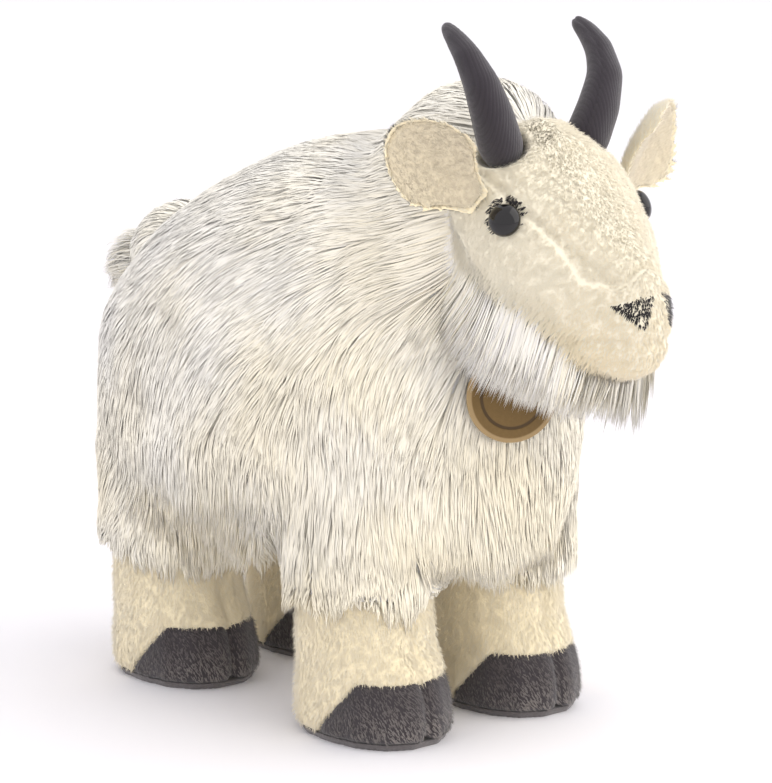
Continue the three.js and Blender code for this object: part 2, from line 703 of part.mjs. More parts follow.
function makeHead() {
  const face = cutAway(head(0).subtract(headInside).subtract(bodyClear), headCuts).intersect(faceSide);
  const ruff = cutAway(head(RUFF_PILE).subtract(headInside).subtract(bodyClear), headCuts);
  const cheeks = ruff.intersect(ruffSide).subtract(tagRoom);
  const bridge = new THREE.Shape();
  bridge.moveTo(-BRIDGE_WIDTH_BACK / 2, FAR);
  bridge.lineTo(-BRIDGE_WIDTH_BACK / 2, MUZZLE_Y + EYE_SETBACK);
  bridge.lineTo(-BRIDGE_WIDTH_NOSE / 2, MUZZLE_Y + 8);
  bridge.lineTo(BRIDGE_WIDTH_NOSE / 2, MUZZLE_Y + 8);
  bridge.lineTo(BRIDGE_WIDTH_BACK / 2, MUZZLE_Y + EYE_SETBACK);
  bridge.lineTo(BRIDGE_WIDTH_BACK / 2, FAR);
  const options = { depth: FAR, bevelEnabled: false };
  const upper = new THREE.ExtrudeGeometry(bridge, options);
  upper.translate(0, 0, CHIN_Z + 0.4 * HEAD_HEIGHT);
  const bridgeBlock = solid(upper);
  const wider = upper.clone().scale(1 + (2 * SEAM_GAP) / BRIDGE_WIDTH_NOSE, 1, 1);
  wider.translate(0, -SEAM_GAP, -SEAM_GAP);
  const bridgeRoom = solid(wider);
  const chinTop = CHIN_Z + CHIN_HEIGHT;
  const chinBack = MUZZLE_Y + CHIN_LENGTH;
  const chin = block(-FAR, FAR, -FAR, chinBack, -FAR, chinTop);
  const chinRoom = block(-FAR, FAR, -FAR, chinBack + SEAM_GAP, -FAR, chinTop + SEAM_GAP);
  add("nose_bridge_panel", face.intersect(bridgeBlock), "shortPlush");
  add("chin_panel", face.intersect(chin), "shortPlush");
  const sides = face.subtract(bridgeRoom).subtract(chinRoom);
  SIDES.forEach(({ name, sign }) => {
    add("face_panel_" + name, sides.intersect(halfSpace(sign)), "shortPlush");
    add("cheek_fur_" + name, cheeks.intersect(halfSpace(sign)), "longPile");
  });
  const filling = cutAway(head(-SHORT_PLUSH - SEAM_GAP).subtract(bodyInside), headCuts);
  add("head_filling", filling.subtract(tagRoom), "fibrefill");
}

makeHead();

// ---- Tail --------------------------------------------------------------------------------------

const tailBase = new THREE.Vector3(0, RUMP_Y - TAIL_SINK, TAIL_HEIGHT);

function makeTail() {
  const slope = (TAIL_SLOPE * Math.PI) / 180;
  const direction = new THREE.Vector3(0, Math.cos(slope), -Math.sin(slope));
  const arch = new THREE.Vector3(0, 0, TAIL_ARCH);
  const curve = new THREE.CatmullRomCurve3([
    tailBase,
    tailBase.clone().addScaledVector(direction, 0.5 * TAIL_LENGTH).add(arch),
    tailBase.clone().addScaledVector(direction, TAIL_LENGTH),
  ]);
  const radius = TAIL_THICKNESS / 2;
  const flat = TAIL_WIDTH / TAIL_THICKNESS;
  const profile = [
    [0, 0],
    [0, 0.62],
    [0.2, 0.85],
    [0.45, 1],
    [0.7, 0.9],
    [0.88, 0.62],
    [0.97, 0.3],
    [1, 0],
  ].map(([share, r]) => [share, r * radius]);
  const across = new THREE.Vector3(1, 0, 0);
  const whole = sweep(curve, profile, 14, across, (c, s, r) => [flat * c * r, s * r]);
  [-1, 1].forEach((face) => {
    const [outY, outZ] = [face * Math.sin(slope), face * Math.cos(slope)];
    const [gapY, gapZ] = [(outY * SEAM_GAP) / 2, (outZ * SEAM_GAP) / 2];
    const half = aheadOf(tailBase.y + gapY, tailBase.z + gapZ, outY, outZ);
    add(face > 0 ? "tail_top_panel" : "tail_under_panel", whole.intersect(half), "longPile");
  });
}

makeTail();

// Room for the tail's root, so that it can lift and drop.
const tailSeat = ball(tailBase, TAIL_WIDTH / 2 + TAIL_CLEAR);

// ---- Body panels -------------------------------------------------------------------------------

function makeBody() {
  const openings = [headInside, tailSeat, ...legOpenings, ...hornRooms];
  const shell = cutAway(bodyOuter.subtract(bodyInside), openings);
  const halfBelly = BELLY_WIDTH / 2;
  const bellyTop = HEM_HEIGHT + BELLY_DEPTH;
  const belly = block(-halfBelly, halfBelly, -FAR, FAR, -FAR, bellyTop);
  const room = halfBelly + SEAM_GAP;
  const bellyRoom = block(-room, room, -FAR, FAR, -FAR, bellyTop + SEAM_GAP);
  add("belly_panel", shell.intersect(belly), "longPile");
  SIDES.forEach(({ name, sign }) => {
    const panel = shell.subtract(bellyRoom).intersect(halfSpace(sign));
    add("body_cover_" + name, panel.subtract(tagRoom), "longPile");
  });
  const filling = cutAway(bodyFilling, [tailSeat, tagRoom, ...hornRooms]);
  add("body_filling", filling, "fibrefill");
}

makeBody();

// ---- Frame: the origin is the middle of the goat's box, on the floor -----------------------------

const bounds = new THREE.Box3().setFromObject(goat);
goat.position.set(-(bounds.min.x + bounds.max.x) / 2, -(bounds.min.y + bounds.max.y) / 2, -bounds.min.z);

export default goat;
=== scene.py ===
# %% [markdown]
# # A stuffed mountain goat, from the cut panels to the pile
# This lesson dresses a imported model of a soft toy: a standing mountain goat with a long white coat,
# short cream plush on its face and legs, dark velour horns and hooves, glossy eyes and a round tag.
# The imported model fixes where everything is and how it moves. Here it gets its soft forms, its pile
# and its finishes. The goat faces -Y, so its right side is -X, and all lengths are in metres.

# %% Load the fixed frame
import json
import math
from functools import lru_cache

import bpy
import numpy as np
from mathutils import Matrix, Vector
from mathutils.bvhtree import BVHTree
from mathutils.kdtree import KDTree


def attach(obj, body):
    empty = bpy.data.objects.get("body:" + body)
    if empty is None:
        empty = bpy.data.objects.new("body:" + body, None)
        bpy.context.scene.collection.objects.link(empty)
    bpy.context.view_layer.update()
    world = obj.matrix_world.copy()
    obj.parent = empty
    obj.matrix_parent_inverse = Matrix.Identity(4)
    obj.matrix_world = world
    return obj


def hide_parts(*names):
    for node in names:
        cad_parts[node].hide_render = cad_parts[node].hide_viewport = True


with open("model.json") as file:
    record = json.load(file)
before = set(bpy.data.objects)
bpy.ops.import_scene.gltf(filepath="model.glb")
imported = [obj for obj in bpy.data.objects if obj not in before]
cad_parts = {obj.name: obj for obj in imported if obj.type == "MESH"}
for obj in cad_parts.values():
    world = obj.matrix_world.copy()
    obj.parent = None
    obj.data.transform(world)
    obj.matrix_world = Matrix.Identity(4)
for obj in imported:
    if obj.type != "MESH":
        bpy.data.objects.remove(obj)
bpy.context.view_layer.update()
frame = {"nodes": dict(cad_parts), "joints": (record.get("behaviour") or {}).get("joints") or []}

MM = 0.001
SIDES = (("right", -1), ("left", 1))
ENDS = ("front", "hind")
joints = {joint["name"]: np.array(joint["pos_m"]) for joint in frame["joints"]}


# %% [markdown]
# ## The camera, the floor and the light
# A long lens stands off the goat's front right, a little above its back. The floor is a wide pale
# sheet that runs out of view, so the goat seems to stand in white. One large soft lamp ahead of the
# goat models the fur, and an even, faintly lilac sky fills the shadows.

# %% Camera
VIEW_TURN = math.radians(-41.49)
VIEW_RISE = math.radians(9.89)
VIEW_DISTANCE = 1.3162
LENS = 142.8
aim = Vector((-0.0050, -0.0168, 0.1363))
level = math.cos(VIEW_RISE)
away = Vector((math.sin(VIEW_TURN) * level, -math.cos(VIEW_TURN) * level, math.sin(VIEW_RISE)))
bpy.ops.object.camera_add(location=aim + away * VIEW_DISTANCE)
camera = bpy.context.object
camera.rotation_euler = (-away).to_track_quat("-Z", "Y").to_euler()
camera.data.lens = LENS
camera.data.sensor_width = 36
bpy.context.scene.camera = camera
print("camera at", [round(v, 3) for v in camera.location])

# %% Floor, lamp and sky
scene = bpy.context.scene
scene.view_settings.view_transform = "Standard"

FLOOR_SIZE = 30
bpy.ops.mesh.primitive_plane_add(size=FLOOR_SIZE, location=(0, 0, 0))
floor = bpy.context.object
floor.name = "floor"

bpy.ops.object.light_add(type="AREA", location=(0.8, -1.4, 1.35))
lamp = bpy.context.object
lamp.data.size = 2.8  # wide, so the shade between locks stays soft
lamp.data.energy = 24
lamp.data.color = (1.0, 0.965, 0.9)
lamp.rotation_euler = (Vector((0, 0, 0.12)) - lamp.location).to_track_quat("-Z", "Y").to_euler()

sky = bpy.data.worlds.new("sky")
sky.use_nodes = True
sky.node_tree.nodes["Background"].inputs["Color"].default_value = (0.985, 0.97, 1.0, 1)
sky.node_tree.nodes["Background"].inputs["Strength"].default_value = 1.12
scene.world = sky
print("floor", FLOOR_SIZE, "m wide, lamp", round(lamp.data.size, 1), "m wide")


# %% [markdown]
# ## Tools for soft forms
# Each soft piece starts as a copy of the panels that it covers. The copy is rebuilt on an even grid,
# which joins the panels over their narrow seams, and smoothed. Then its points are moved by a rule,
# as fingers press a seam into a cushion.

# %% Selecting and finishing a piece
def only(*pieces):
    """Selects these pieces and nothing else."""
    bpy.ops.object.select_all(action="DESELECT")
    for piece in pieces:
        piece.select_set(True)
    bpy.context.view_layer.objects.active = pieces[0]
    return pieces[0]


def worked(piece, kind, **settings):
    """Adds a modifier to a piece and applies it."""
    only(piece)
    step = piece.modifiers.new(kind.lower(), kind)
    for name, value in settings.items():
        setattr(step, name, value)
    bpy.ops.object.modifier_apply(modifier=step.name)
    return piece


def points(piece):
    """The places of a piece's points, one row each."""
    at = np.empty(len(piece.data.vertices) * 3)
    piece.data.vertices.foreach_get("co", at)
    return at.reshape(-1, 3)


def normals(piece):
    """The way out of the skin at each point."""
    out = np.empty(len(piece.data.vertices) * 3)
    piece.data.vertex_normals.foreach_get("vector", out)
    return out.reshape(-1, 3)


def move_points(piece, at):
    piece.data.vertices.foreach_set("co", at.ravel())
    piece.data.update()
    return piece


def unit(v):
    return v / np.maximum(np.linalg.norm(v, axis=-1, keepdims=True), 1e-12)


def ramp(value, low, high):
    """0 below low, 1 above high and a smooth rise between."""
    t = np.clip((value - low) / (high - low), 0, 1)
    return t * t * (3 - 2 * t)


# %% A smooth form from the panels that it covers
def form(name, nodes, grid, rounds, inset=0.0, extra=()):
    """The panels (and extra lumps) rebuilt on a grid, smoothed, and moved inwards by inset."""
    copies = list(extra)
    for node in nodes:
        copy = bpy.data.objects.new(name, frame["nodes"][node].data.copy())
        scene.collection.objects.link(copy)
        copies.append(copy)
    piece = only(*copies)
    if len(copies) > 1:
        bpy.ops.object.join()
    piece.name = name
    piece.data.name = name
    piece.data.materials.clear()
    worked(piece, "REMESH", mode="VOXEL", voxel_size=grid)
    worked(piece, "SMOOTH", factor=0.5, iterations=rounds)
    if inset:
        move_points(piece, points(piece) - normals(piece) * inset)
        worked(piece, "SMOOTH", factor=0.5, iterations=rounds)
    return piece


def press(piece, near, depth, width):
    """Presses a groove where near, a distance for each point, is small."""
    press_in = depth * np.exp(-((near / width) ** 2))
    return move_points(piece, points(piece) - normals(piece) * press_in[:, None])


@lru_cache(maxsize=None)
def panel_tree(node):
    mesh = frame["nodes"][node].data
    at = [v.co for v in mesh.vertices]
    return BVHTree.FromPolygons(at, [tuple(f.vertices) for f in mesh.polygons])


def gap_to(nodes, at):
    """Distance from each place to the nearest of some packed panels."""
    trees = [panel_tree(node) for node in nodes]
    return np.array([[tree.find_nearest(Vector(p))[3] for p in at] for tree in trees]).min(0)


def seam_near(piece, first, second):
    """Distance of each point from the seam between two groups of packed panels."""
    at = points(piece)
    return np.maximum(gap_to(first, at), gap_to(second, at))


def smooth_shaded(piece, angle=60):
    only(piece)
    bpy.ops.object.shade_smooth_by_angle(angle=math.radians(angle))
    return piece


# %% [markdown]
# ## Tools for pile
# Pile is thousands of small closed spikes. One spike has three sides and a few rings, and all its
# copies are laid out at once with arrays, which is far quicker than placing them one by one. A long
# strand walks over the skin that it grows from: at each step it follows the comb direction, keeps
# its height above the skin, and hangs straight where the skin turns under. Neighbours then lean
# together into locks. A spike is shaded with the direction of the skin under it, not with its own,
# so the coat shades softly, as one round body does.

# %% Sowing roots
def sow(piece, spacing, seed, keep=None):
    """Random roots on a piece, one for each spacing squared, with the way out of the skin there."""
    draw = np.random.default_rng(seed)
    mesh = piece.data
    mesh.calc_loop_triangles()
    corners = np.empty(len(mesh.loop_triangles) * 3, int)
    mesh.loop_triangles.foreach_get("vertices", corners)
    corners = corners.reshape(-1, 3)
    at, out = points(piece), normals(piece)
    a, b, c = (at[corners[:, i]] for i in range(3))
    area = np.linalg.norm(np.cross(b - a, c - a), axis=1) / 2
    pick = draw.choice(len(area), int(area.sum() / spacing**2), p=area / area.sum())
    u, v = draw.random((2, len(pick), 1))
    over = u + v > 1
    u, v = np.where(over, 1 - u, u), np.where(over, 1 - v, v)
    share = np.stack([1 - u - v, u, v])
    root = sum(share[i] * at[corners[pick, i]] for i in range(3))
    normal = unit(sum(share[i] * out[corners[pick, i]] for i in range(3)))
    if keep is not None:
        chosen = keep(root, normal)
        root, normal = root[chosen], normal[chosen]
    return root, normal


def skin_tree(piece):
    """A search tree of a skin's faces."""
    at = [Vector(p) for p in points(piece)]
    return BVHTree.FromPolygons(at, [tuple(f.vertices) for f in piece.data.polygons])


def above(tree, at):
    """Nearest place on a skin, the way out of it there, and the height above it."""
    found = [tree.find_nearest(Vector(p))[:2] for p in at]
    place = np.array([f[0] for f in found])
    out = np.array([f[1] for f in found])
    return place, out, ((at - place) * out).sum(1)


# %% Soft waves over the coat
WAVES, WAVE_REACH = 7, 3.2


def waves(at, size, seed):
    """A smooth random value for each place, about -1 to 1, that changes over the given size."""
    draw = np.random.default_rng(seed)
    total = np.zeros(len(at))
    for _ in range(WAVES):
        way = draw.normal(size=3)
        way *= 2 * math.pi / (size * np.linalg.norm(way) * draw.uniform(0.6, 1.6))
        total += np.sin(at @ way + draw.uniform(0, 2 * math.pi))
    return total / WAVE_REACH


# %% Walking strands over a skin
def walk(tree, root, normal, comb, length, height, steps, cling):
    """Lines of steps + 1 places from each root. height is how far the tip stands off the skin."""
    line = [root]
    at, out = root, normal
    for step in range(1, steps + 1):
        share = step / steps
        way = comb(at, out)
        along = unit(way - (way * out).sum(1, keepdims=True) * out * cling(out)[:, None])
        at = at + along * (length / steps)[:, None]
        place, out, now = above(tree, at)
        wanted = height * math.sin(share * math.pi / 2)
        hold = np.where(now < wanted, 1.0, cling(out))
        at = at + out * ((wanted - now) * hold)[:, None]
        line.append(at)
    return np.stack(line, axis=1)


def gather(line, spacing, pull, seed):
    """Leans neighbouring strands together into locks, more towards their tips."""
    draw = np.random.default_rng(seed)
    count, knots = line.shape[:2]
    leaders = draw.permutation(count)[: max(1, int(count / spacing**2))]
    tree = KDTree(len(leaders))
    for number, leader in enumerate(leaders):
        tree.insert(Vector(line[leader, 0]), number)
    tree.balance()
    own = np.array([tree.find(Vector(p))[1] for p in line[:, 0]])
    lead = line[leaders][own]
    share = (np.arange(knots) / (knots - 1)) ** 1.4
    hold = pull * draw.uniform(0.55, 1.1, count)[:, None] * share[None, :]
    return line + (lead - line) * hold[:, :, None]


def ruffle(line, normal, amount, seed):
    """Bends every strand a little to one side and back."""
    draw = np.random.default_rng(seed)
    count, knots = line.shape[:2]
    side = unit(np.cross(line[:, -1] - line[:, 0], normal))
    share = np.arange(knots) / (knots - 1)
    bend = draw.normal(size=(count, 1)) * share**1.5
    bend = bend + 0.5 * draw.normal(size=(count, 1)) * np.sin(share * math.pi)
    lift = 0.3 * draw.normal(size=(count, 1)) * share**1.5
    return line + amount * (side[:, None] * bend[:, :, None] + normal[:, None] * lift[:, :, None])


# %% Which way the pile looks
def lit(normal):
    """The skin's direction. Where the skin looks down, a zero keeps each strand's own direction."""
    return np.where(normal[:, 2:] < -0.25, 0.0, normal)


# %% Strands as closed spikes
TINTS = 24  # narrow strips of the colour map
PALE_END, DARK_TINT = 0.79, 0.81  # pale tints stay below the first, dark ones above the second


def spikes(name, line, normal, shine, width, tint, finish, body):
    """One mesh of closed three-sided spikes along the lines, each on its own strip of the colour map.
    shine is the direction that each one is shaded with."""
    count, knots = line.shape[:2]
    rings = knots - 1
    step = np.diff(line, axis=1)
    along = step.copy()
    along[:, 1:] += step[:, :-1]
    side = unit(np.cross(along, normal[:, None]))
    rise = unit(np.cross(side, along))
    share = np.arange(rings) / rings
    taper = (0.75 + 0.5 * np.sin(share * math.pi)) * (1 - share**3)
    half = 0.5 * width[:, None, None] * taper[None, :, None]
    base = line[:, :rings]
    ring = np.stack([base + side * half, base - side * half, base + rise * half * 0.4], axis=2)
    at = np.concatenate([ring.reshape(count, rings * 3, 3), line[:, -1:]], axis=1)
    per = rings * 3 + 1

    faces, heights = [(2, 1, 0)], [(0, 0.04, 0)]
    for r in range(rings):
        low, high = r / rings, (r + 1) / rings
        for i, j in ((0, 1), (1, 2), (2, 0)):
            if r < rings - 1:
                faces.append((3 * r + i, 3 * r + j, 3 * r + 3 + j, 3 * r + 3 + i))
                heights.append((low, low, high, high))
            else:
                faces.append((3 * r + i, 3 * r + j, 3 * rings))
                heights.append((low, low, 1))
    sizes = np.array([len(f) for f in faces])
    corner = np.concatenate([np.array(f) for f in faces])
    across = np.concatenate([np.array((0, 1, 1, 0) if len(f) == 4 else (0, 1, 0.5)) for f in faces])
    upward = np.concatenate([np.array(h, float) for h in heights])
    loops = len(corner)

    mesh = bpy.data.meshes.new(name)
    mesh.vertices.add(count * per)
    mesh.vertices.foreach_set("co", at.ravel())
    mesh.loops.add(count * loops)
    index = corner[None, :] + (np.arange(count) * per)[:, None]
    mesh.loops.foreach_set("vertex_index", index.ravel().astype(np.int32))
    mesh.polygons.add(count * len(faces))
    starts = np.concatenate([[0], np.cumsum(sizes)[:-1]])
    start = starts[None, :] + (np.arange(count) * loops)[:, None]
    mesh.polygons.foreach_set("loop_start", start.ravel().astype(np.int32))
    strip = (np.floor(np.clip(tint, 0, 0.999) * TINTS) + 0.15) / TINTS
    u = strip[:, None] + across[None, :] * 0.7 / TINTS
    v = np.broadcast_to(upward * 0.96 + 0.02, u.shape)
    mesh.uv_layers.new(name="OFBake").data.foreach_set("uv", np.stack([u, v], axis=2).ravel())
    mesh.polygons.foreach_set("use_smooth", np.ones(count * len(faces), bool))
    mesh.update(calc_edges=True)
    mesh.normals_split_custom_set_from_vertices(np.repeat(shine, per, axis=0))
    piece = bpy.data.objects.new(name, mesh)
    scene.collection.objects.link(piece)
    mesh.materials.append(finish)
    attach(piece, body)
    print(f"{name}: {count} strands, {count * (sizes - 2).sum()} triangles")
    return piece


# %% Short plush
def fuzz(name, piece, keep, comb, shape, tint, finish, body, seed):
    """Short spikes on a skin. shape is (spacing, length, width, lean), and length may be a rule."""
    spacing, length, width, lean = shape
    root, normal = sow(piece, spacing, seed, keep)
    draw = np.random.default_rng(seed + 1)
    count = len(root)
    way = comb(root, normal)
    flat = unit(way - (way * normal).sum(1, keepdims=True) * normal)
    along = unit(normal * (1 - lean) + flat * lean + draw.normal(size=(count, 3)) * 0.12)
    long = length(root)[:, None] if callable(length) else length
    tip = root + along * long * draw.uniform(0.55, 1.15, (count, 1))
    tip[:, 2] = np.maximum(tip[:, 2], 0.2 * MM)
    line = gather(np.stack([root, tip], axis=1), 2.6, 0.15, seed + 2)
    at_root = tint(root, normal)
    shade = at_root + 0.03 * waves(root, 0.02, seed) + draw.normal(size=count) * 0.03
    sprayed_on = np.maximum(at_root, tint(tip, normal))
    shade = np.where(sprayed_on > DARK_TINT, sprayed_on, np.clip(shade, 0, PALE_END))
    wide = draw.uniform(0.7, 1.1, count) * width * np.where(shade > DARK_TINT, 1.5, 1.0)
    return spikes(name, line, normal, normal, wide, shade, finish, body)


# %% [markdown]
# ## Finishes
# A pile's tint changes from strand to strand, and painted shade darkens it from its tip towards its
# root, where the strands shade each other near the skin. Both are read from the strand's own map: up
# the map is along the strand, and across it is the tint. The skins under the pile, the velour and the
# leather read Object coordinates instead.

# %% Node tools
def new_material(name, roughness, sheen=0.0):
    material = bpy.data.materials.new(name)
    material.use_nodes = True
    shader = material.node_tree.nodes["Principled BSDF"]
    shader.inputs["Roughness"].default_value = roughness
    shader.inputs["Specular IOR Level"].default_value = 0.25
    shader.inputs["Sheen Weight"].default_value = sheen
    shader.inputs["Sheen Roughness"].default_value = 0.6
    return material


def add_node(tree, kind, **inputs):
    node = tree.nodes.new(kind)
    for name, value in inputs.items():
        node.inputs[name.replace("_", " ")].default_value = value
    return node


def color(r, g, b):
    """A colour from its everyday 0 to 255 values."""
    def linear(v):
        v /= 255
        return v / 12.92 if v <= 0.04045 else ((v + 0.055) / 1.055) ** 2.4

    return (linear(r), linear(g), linear(b), 1.0)


def new_group(name, inputs, outputs):
    group = bpy.data.node_groups.new(name, "ShaderNodeTree")
    for label, kind, start in inputs:
        socket = group.interface.new_socket(label, in_out="INPUT", socket_type=kind)
        if start is not None:
            socket.default_value = start
    for label, kind in outputs:
        group.interface.new_socket(label, in_out="OUTPUT", socket_type=kind)
    return group, group.nodes.new("NodeGroupInput"), group.nodes.new("NodeGroupOutput")


def mixed(tree, factor, a, b, blend="MIX"):
    """A colour mix; each of factor, a and b is a socket or a plain value."""
    node = tree.nodes.new("ShaderNodeMix")
    node.data_type = "RGBA"
    node.blend_type = blend
    for index, value in ((0, factor), (6, a), (7, b)):
        if isinstance(value, bpy.types.NodeSocket):
            tree.links.new(value, node.inputs[index])
        else:
            node.inputs[index].default_value = value
    return node.outputs[2]


def mathed(tree, operation, a, b=0.0, c=0.0):
    node = tree.nodes.new("ShaderNodeMath")
    node.operation = operation
    for index, value in enumerate((a, b, c)):
        if isinstance(value, bpy.types.NodeSocket):
            tree.links.new(value, node.inputs[index])
        else:
            node.inputs[index].default_value = value
    return node.outputs[0]


# %% Tint across the strands, and painted shade along them
def make_pile_group():
    group, given, result = new_group(
        "pile_tint",
        [
            ("Map", "NodeSocketVector", None),
            ("Cool", "NodeSocketColor", color(214, 210, 222)),
            ("Plain", "NodeSocketColor", color(240, 238, 232)),
            ("Warm", "NodeSocketColor", color(246, 234, 205)),
            ("Dark", "NodeSocketColor", color(40, 36, 38)),
            ("Painted root shade", "NodeSocketFloat", 0.8),
        ],
        [("Color", "NodeSocketColor")],
    )
    split = group.nodes.new("ShaderNodeSeparateXYZ")
    group.links.new(given.outputs["Map"], split.inputs[0])
    across, along = split.outputs[0], split.outputs[1]
    first = mathed(group, "MULTIPLY_ADD", across, 2.5, 0)
    second = mathed(group, "MULTIPLY_ADD", across, 2.5, -1.0)
    dark = mathed(group, "MULTIPLY_ADD", across, 12.0, -10.0)
    clamps = [group.nodes.new("ShaderNodeClamp") for _ in range(3)]
    for clamp, value in zip(clamps, (first, second, dark)):
        group.links.new(value, clamp.inputs["Value"])
    tint = mixed(group, clamps[0].outputs[0], given.outputs["Cool"], given.outputs["Plain"])
    tint = mixed(group, clamps[1].outputs[0], tint, given.outputs["Warm"])
    tint = mixed(group, clamps[2].outputs[0], tint, given.outputs["Dark"])
    painted_root_shade = given.outputs["Painted root shade"]
    # Painted shade: the colour is multiplied down towards each strand's root, where the strands shade each
    # other near the skin.
    risen = mathed(group, "POWER", along, 0.7)
    shade = mathed(group, "MULTIPLY_ADD", risen, mathed(group, "SUBTRACT", 1.0, painted_root_shade), painted_root_shade)
    grey = group.nodes.new("ShaderNodeCombineColor")
    for socket in grey.inputs:
        group.links.new(shade, socket)
    group.links.new(mixed(group, 1.0, tint, grey.outputs[0], "MULTIPLY"), result.inputs["Color"])
    return group


pile_tint = make_pile_group()


def pile_material(name, cool, plain, warm, dark, painted_root_shade, roughness=0.7, sheen=0.4):
    """The four tints of a pile, and how much of its brightness painted shade leaves at the root."""
    material = new_material(name, roughness, sheen)
    tree = material.node_tree
    uv = tree.nodes.new("ShaderNodeUVMap")
    uv.uv_map = "OFBake"
    tint = tree.nodes.new("ShaderNodeGroup")
    tint.node_tree = pile_tint
    values = {"Cool": cool, "Plain": plain, "Warm": warm, "Dark": dark, "Painted root shade": painted_root_shade}
    for label, value in values.items():
        tint.inputs[label].default_value = value
    tree.links.new(uv.outputs[0], tint.inputs["Map"])
    tree.links.new(tint.outputs[0], tree.nodes["Principled BSDF"].inputs["Base Color"])
    return material


WHITES = color(242, 240, 238), color(253, 249, 236), color(253, 243, 214), color(60, 55, 56)
CREAMS = color(244, 239, 222), color(250, 242, 217), color(251, 234, 194), color(34, 29, 29)
GREYS = color(58, 50, 53), color(104, 97, 95), color(158, 150, 144), color(170, 164, 158)
# The last number of each pile is the brightness that painted shade leaves at its roots.
long_pile = pile_material("long_white_pile", *WHITES, 0.98)
cream_pile = pile_material("short_cream_pile", *CREAMS, 0.96)
hoof_pile = pile_material("grey_hoof_pile", *GREYS, 0.7)
print("pile finishes:", long_pile.name, cream_pile.name, hoof_pile.name)

# %% The skins under the pile
def make_grain_group():
    group, given, result = new_group(
        "cloth_grain",
        [
            ("Light", "NodeSocketColor", color(240, 232, 210)),
            ("Deep", "NodeSocketColor", color(220, 208, 180)),
            ("Scale", "NodeSocketFloat", 900.0),
            ("Blotch", "NodeSocketFloat", 60.0),
        ],
        [("Color", "NodeSocketColor"), ("Height", "NodeSocketFloat")],
    )
    place = group.nodes.new("ShaderNodeTexCoord")
    fine = add_node(group, "ShaderNodeTexNoise", Detail=3.0, Roughness=0.6)
    broad = add_node(group, "ShaderNodeTexNoise", Detail=2.0, Roughness=0.5)
    for noise, size in ((fine, "Scale"), (broad, "Blotch")):
        group.links.new(place.outputs["Object"], noise.inputs["Vector"])
        group.links.new(given.outputs[size], noise.inputs["Scale"])
    blotches = mathed(group, "MULTIPLY", broad.outputs[0], 0.4)
    both = mathed(group, "MULTIPLY_ADD", fine.outputs[0], 0.6, blotches)
    group.links.new(mixed(group, both, given.outputs["Deep"], given.outputs["Light"]), result.inputs["Color"])
    group.links.new(fine.outputs[0], result.inputs["Height"])
    return group


cloth_grain = make_grain_group()


def cloth_material(name, light, deep, scale=900.0, blotch=60.0, bump=0.4 * MM, roughness=0.9, sheen=0.3):
    material = new_material(name, roughness, sheen)
    tree = material.node_tree
    shader = tree.nodes["Principled BSDF"]
    grain = tree.nodes.new("ShaderNodeGroup")
    grain.node_tree = cloth_grain
    grain.inputs["Light"].default_value = light
    grain.inputs["Deep"].default_value = deep
    grain.inputs["Scale"].default_value = scale
    grain.inputs["Blotch"].default_value = blotch
    raised = add_node(tree, "ShaderNodeBump", Strength=0.8, Distance=bump)
    tree.links.new(grain.outputs["Height"], raised.inputs["Height"])
    tree.links.new(grain.outputs["Color"], shader.inputs["Base Color"])
    tree.links.new(raised.outputs[0], shader.inputs["Normal"])
    return material


coat_skin = cloth_material("coat_backing", color(252, 250, 244), color(244, 240, 232))
cream_skin = cloth_material("cream_plush", color(250, 243, 220), color(245, 235, 208))
leg_skin = cloth_material("warm_leg_plush", color(250, 238, 204), color(244, 227, 186))
hoof_skin = cloth_material("dark_hoof_plush", color(70, 64, 66), color(42, 37, 40))
sole_skin = cloth_material("grey_sole_plush", color(120, 114, 112), color(84, 79, 79))

floor_paint = new_material("pale_floor", 0.9)
floor_paint.node_tree.nodes["Principled BSDF"].inputs["Base Color"].default_value = (0.93, 0.92, 0.94, 1)
floor.data.materials.append(floor_paint)
print("skins:", coat_skin.name, cream_skin.name, leg_skin.name, hoof_skin.name, sole_skin.name)


# %% [markdown]
# ## The coat
# The body's skin is the stuffed body with the tops of the legs, a little fuller, so it lies just
# inside the outline, and the strands rise from it to the outline. A straight cut across the legs is
# its lower edge. The strands are combed back along the spine and down the flanks, and at the cut they
# hang free as an uneven hem.

# %% The body's skin
BODY_GRID, FULLER = 3.5 * MM, 7.6 * MM
TAIL_ROOT, TAIL_ROOT_RADIUS = joints["tail_flex"] + np.array((0, -4, 0)) * MM, 17 * MM
HEM, CUTTER = 62 * MM, 1.0
bpy.ops.mesh.primitive_uv_sphere_add(segments=24, ring_count=12, radius=TAIL_ROOT_RADIUS, location=TAIL_ROOT)
tail_root = bpy.context.object
bpy.ops.object.transform_apply(location=True, rotation=True, scale=True)
leg_tops = [f"leg_filling_{end}_{side}" for end in ENDS for side, _ in SIDES]
body_skin = form("coat_backing", ["body_filling", *leg_tops], BODY_GRID, 6, -FULLER, [tail_root])
worked(body_skin, "REMESH", mode="VOXEL", voxel_size=BODY_GRID)
bpy.ops.mesh.primitive_cube_add(size=CUTTER, location=(0, 0, HEM - CUTTER / 2))
below = bpy.context.object
worked(body_skin, "BOOLEAN", operation="DIFFERENCE", object=below, solver="EXACT")
only(below)
bpy.ops.object.delete()
body_skin.data.materials.append(coat_skin)
smooth_shaded(body_skin)
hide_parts("body_cover_right", "body_cover_left", "belly_panel", "body_filling")
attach(body_skin, "goat")
body_tree = skin_tree(body_skin)
body_low, body_high = points(body_skin).min(0), points(body_skin).max(0)
print("body skin", len(body_skin.data.polygons), "faces", body_low.round(3), body_high.round(3))

# %% The head's skin
FACE_NODES = ["nose_bridge_panel", "face_panel_right", "face_panel_left", "chin_panel"]
head_skin = form("face_plush", FACE_NODES + ["head_filling"], 1.7 * MM, 5)
head_skin.data.materials.append(cream_skin)
smooth_shaded(head_skin)
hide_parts(*FACE_NODES, "head_filling")
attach(head_skin, "goat")
head_tree = skin_tree(head_skin)
print("head skin", len(head_skin.data.polygons), "faces")

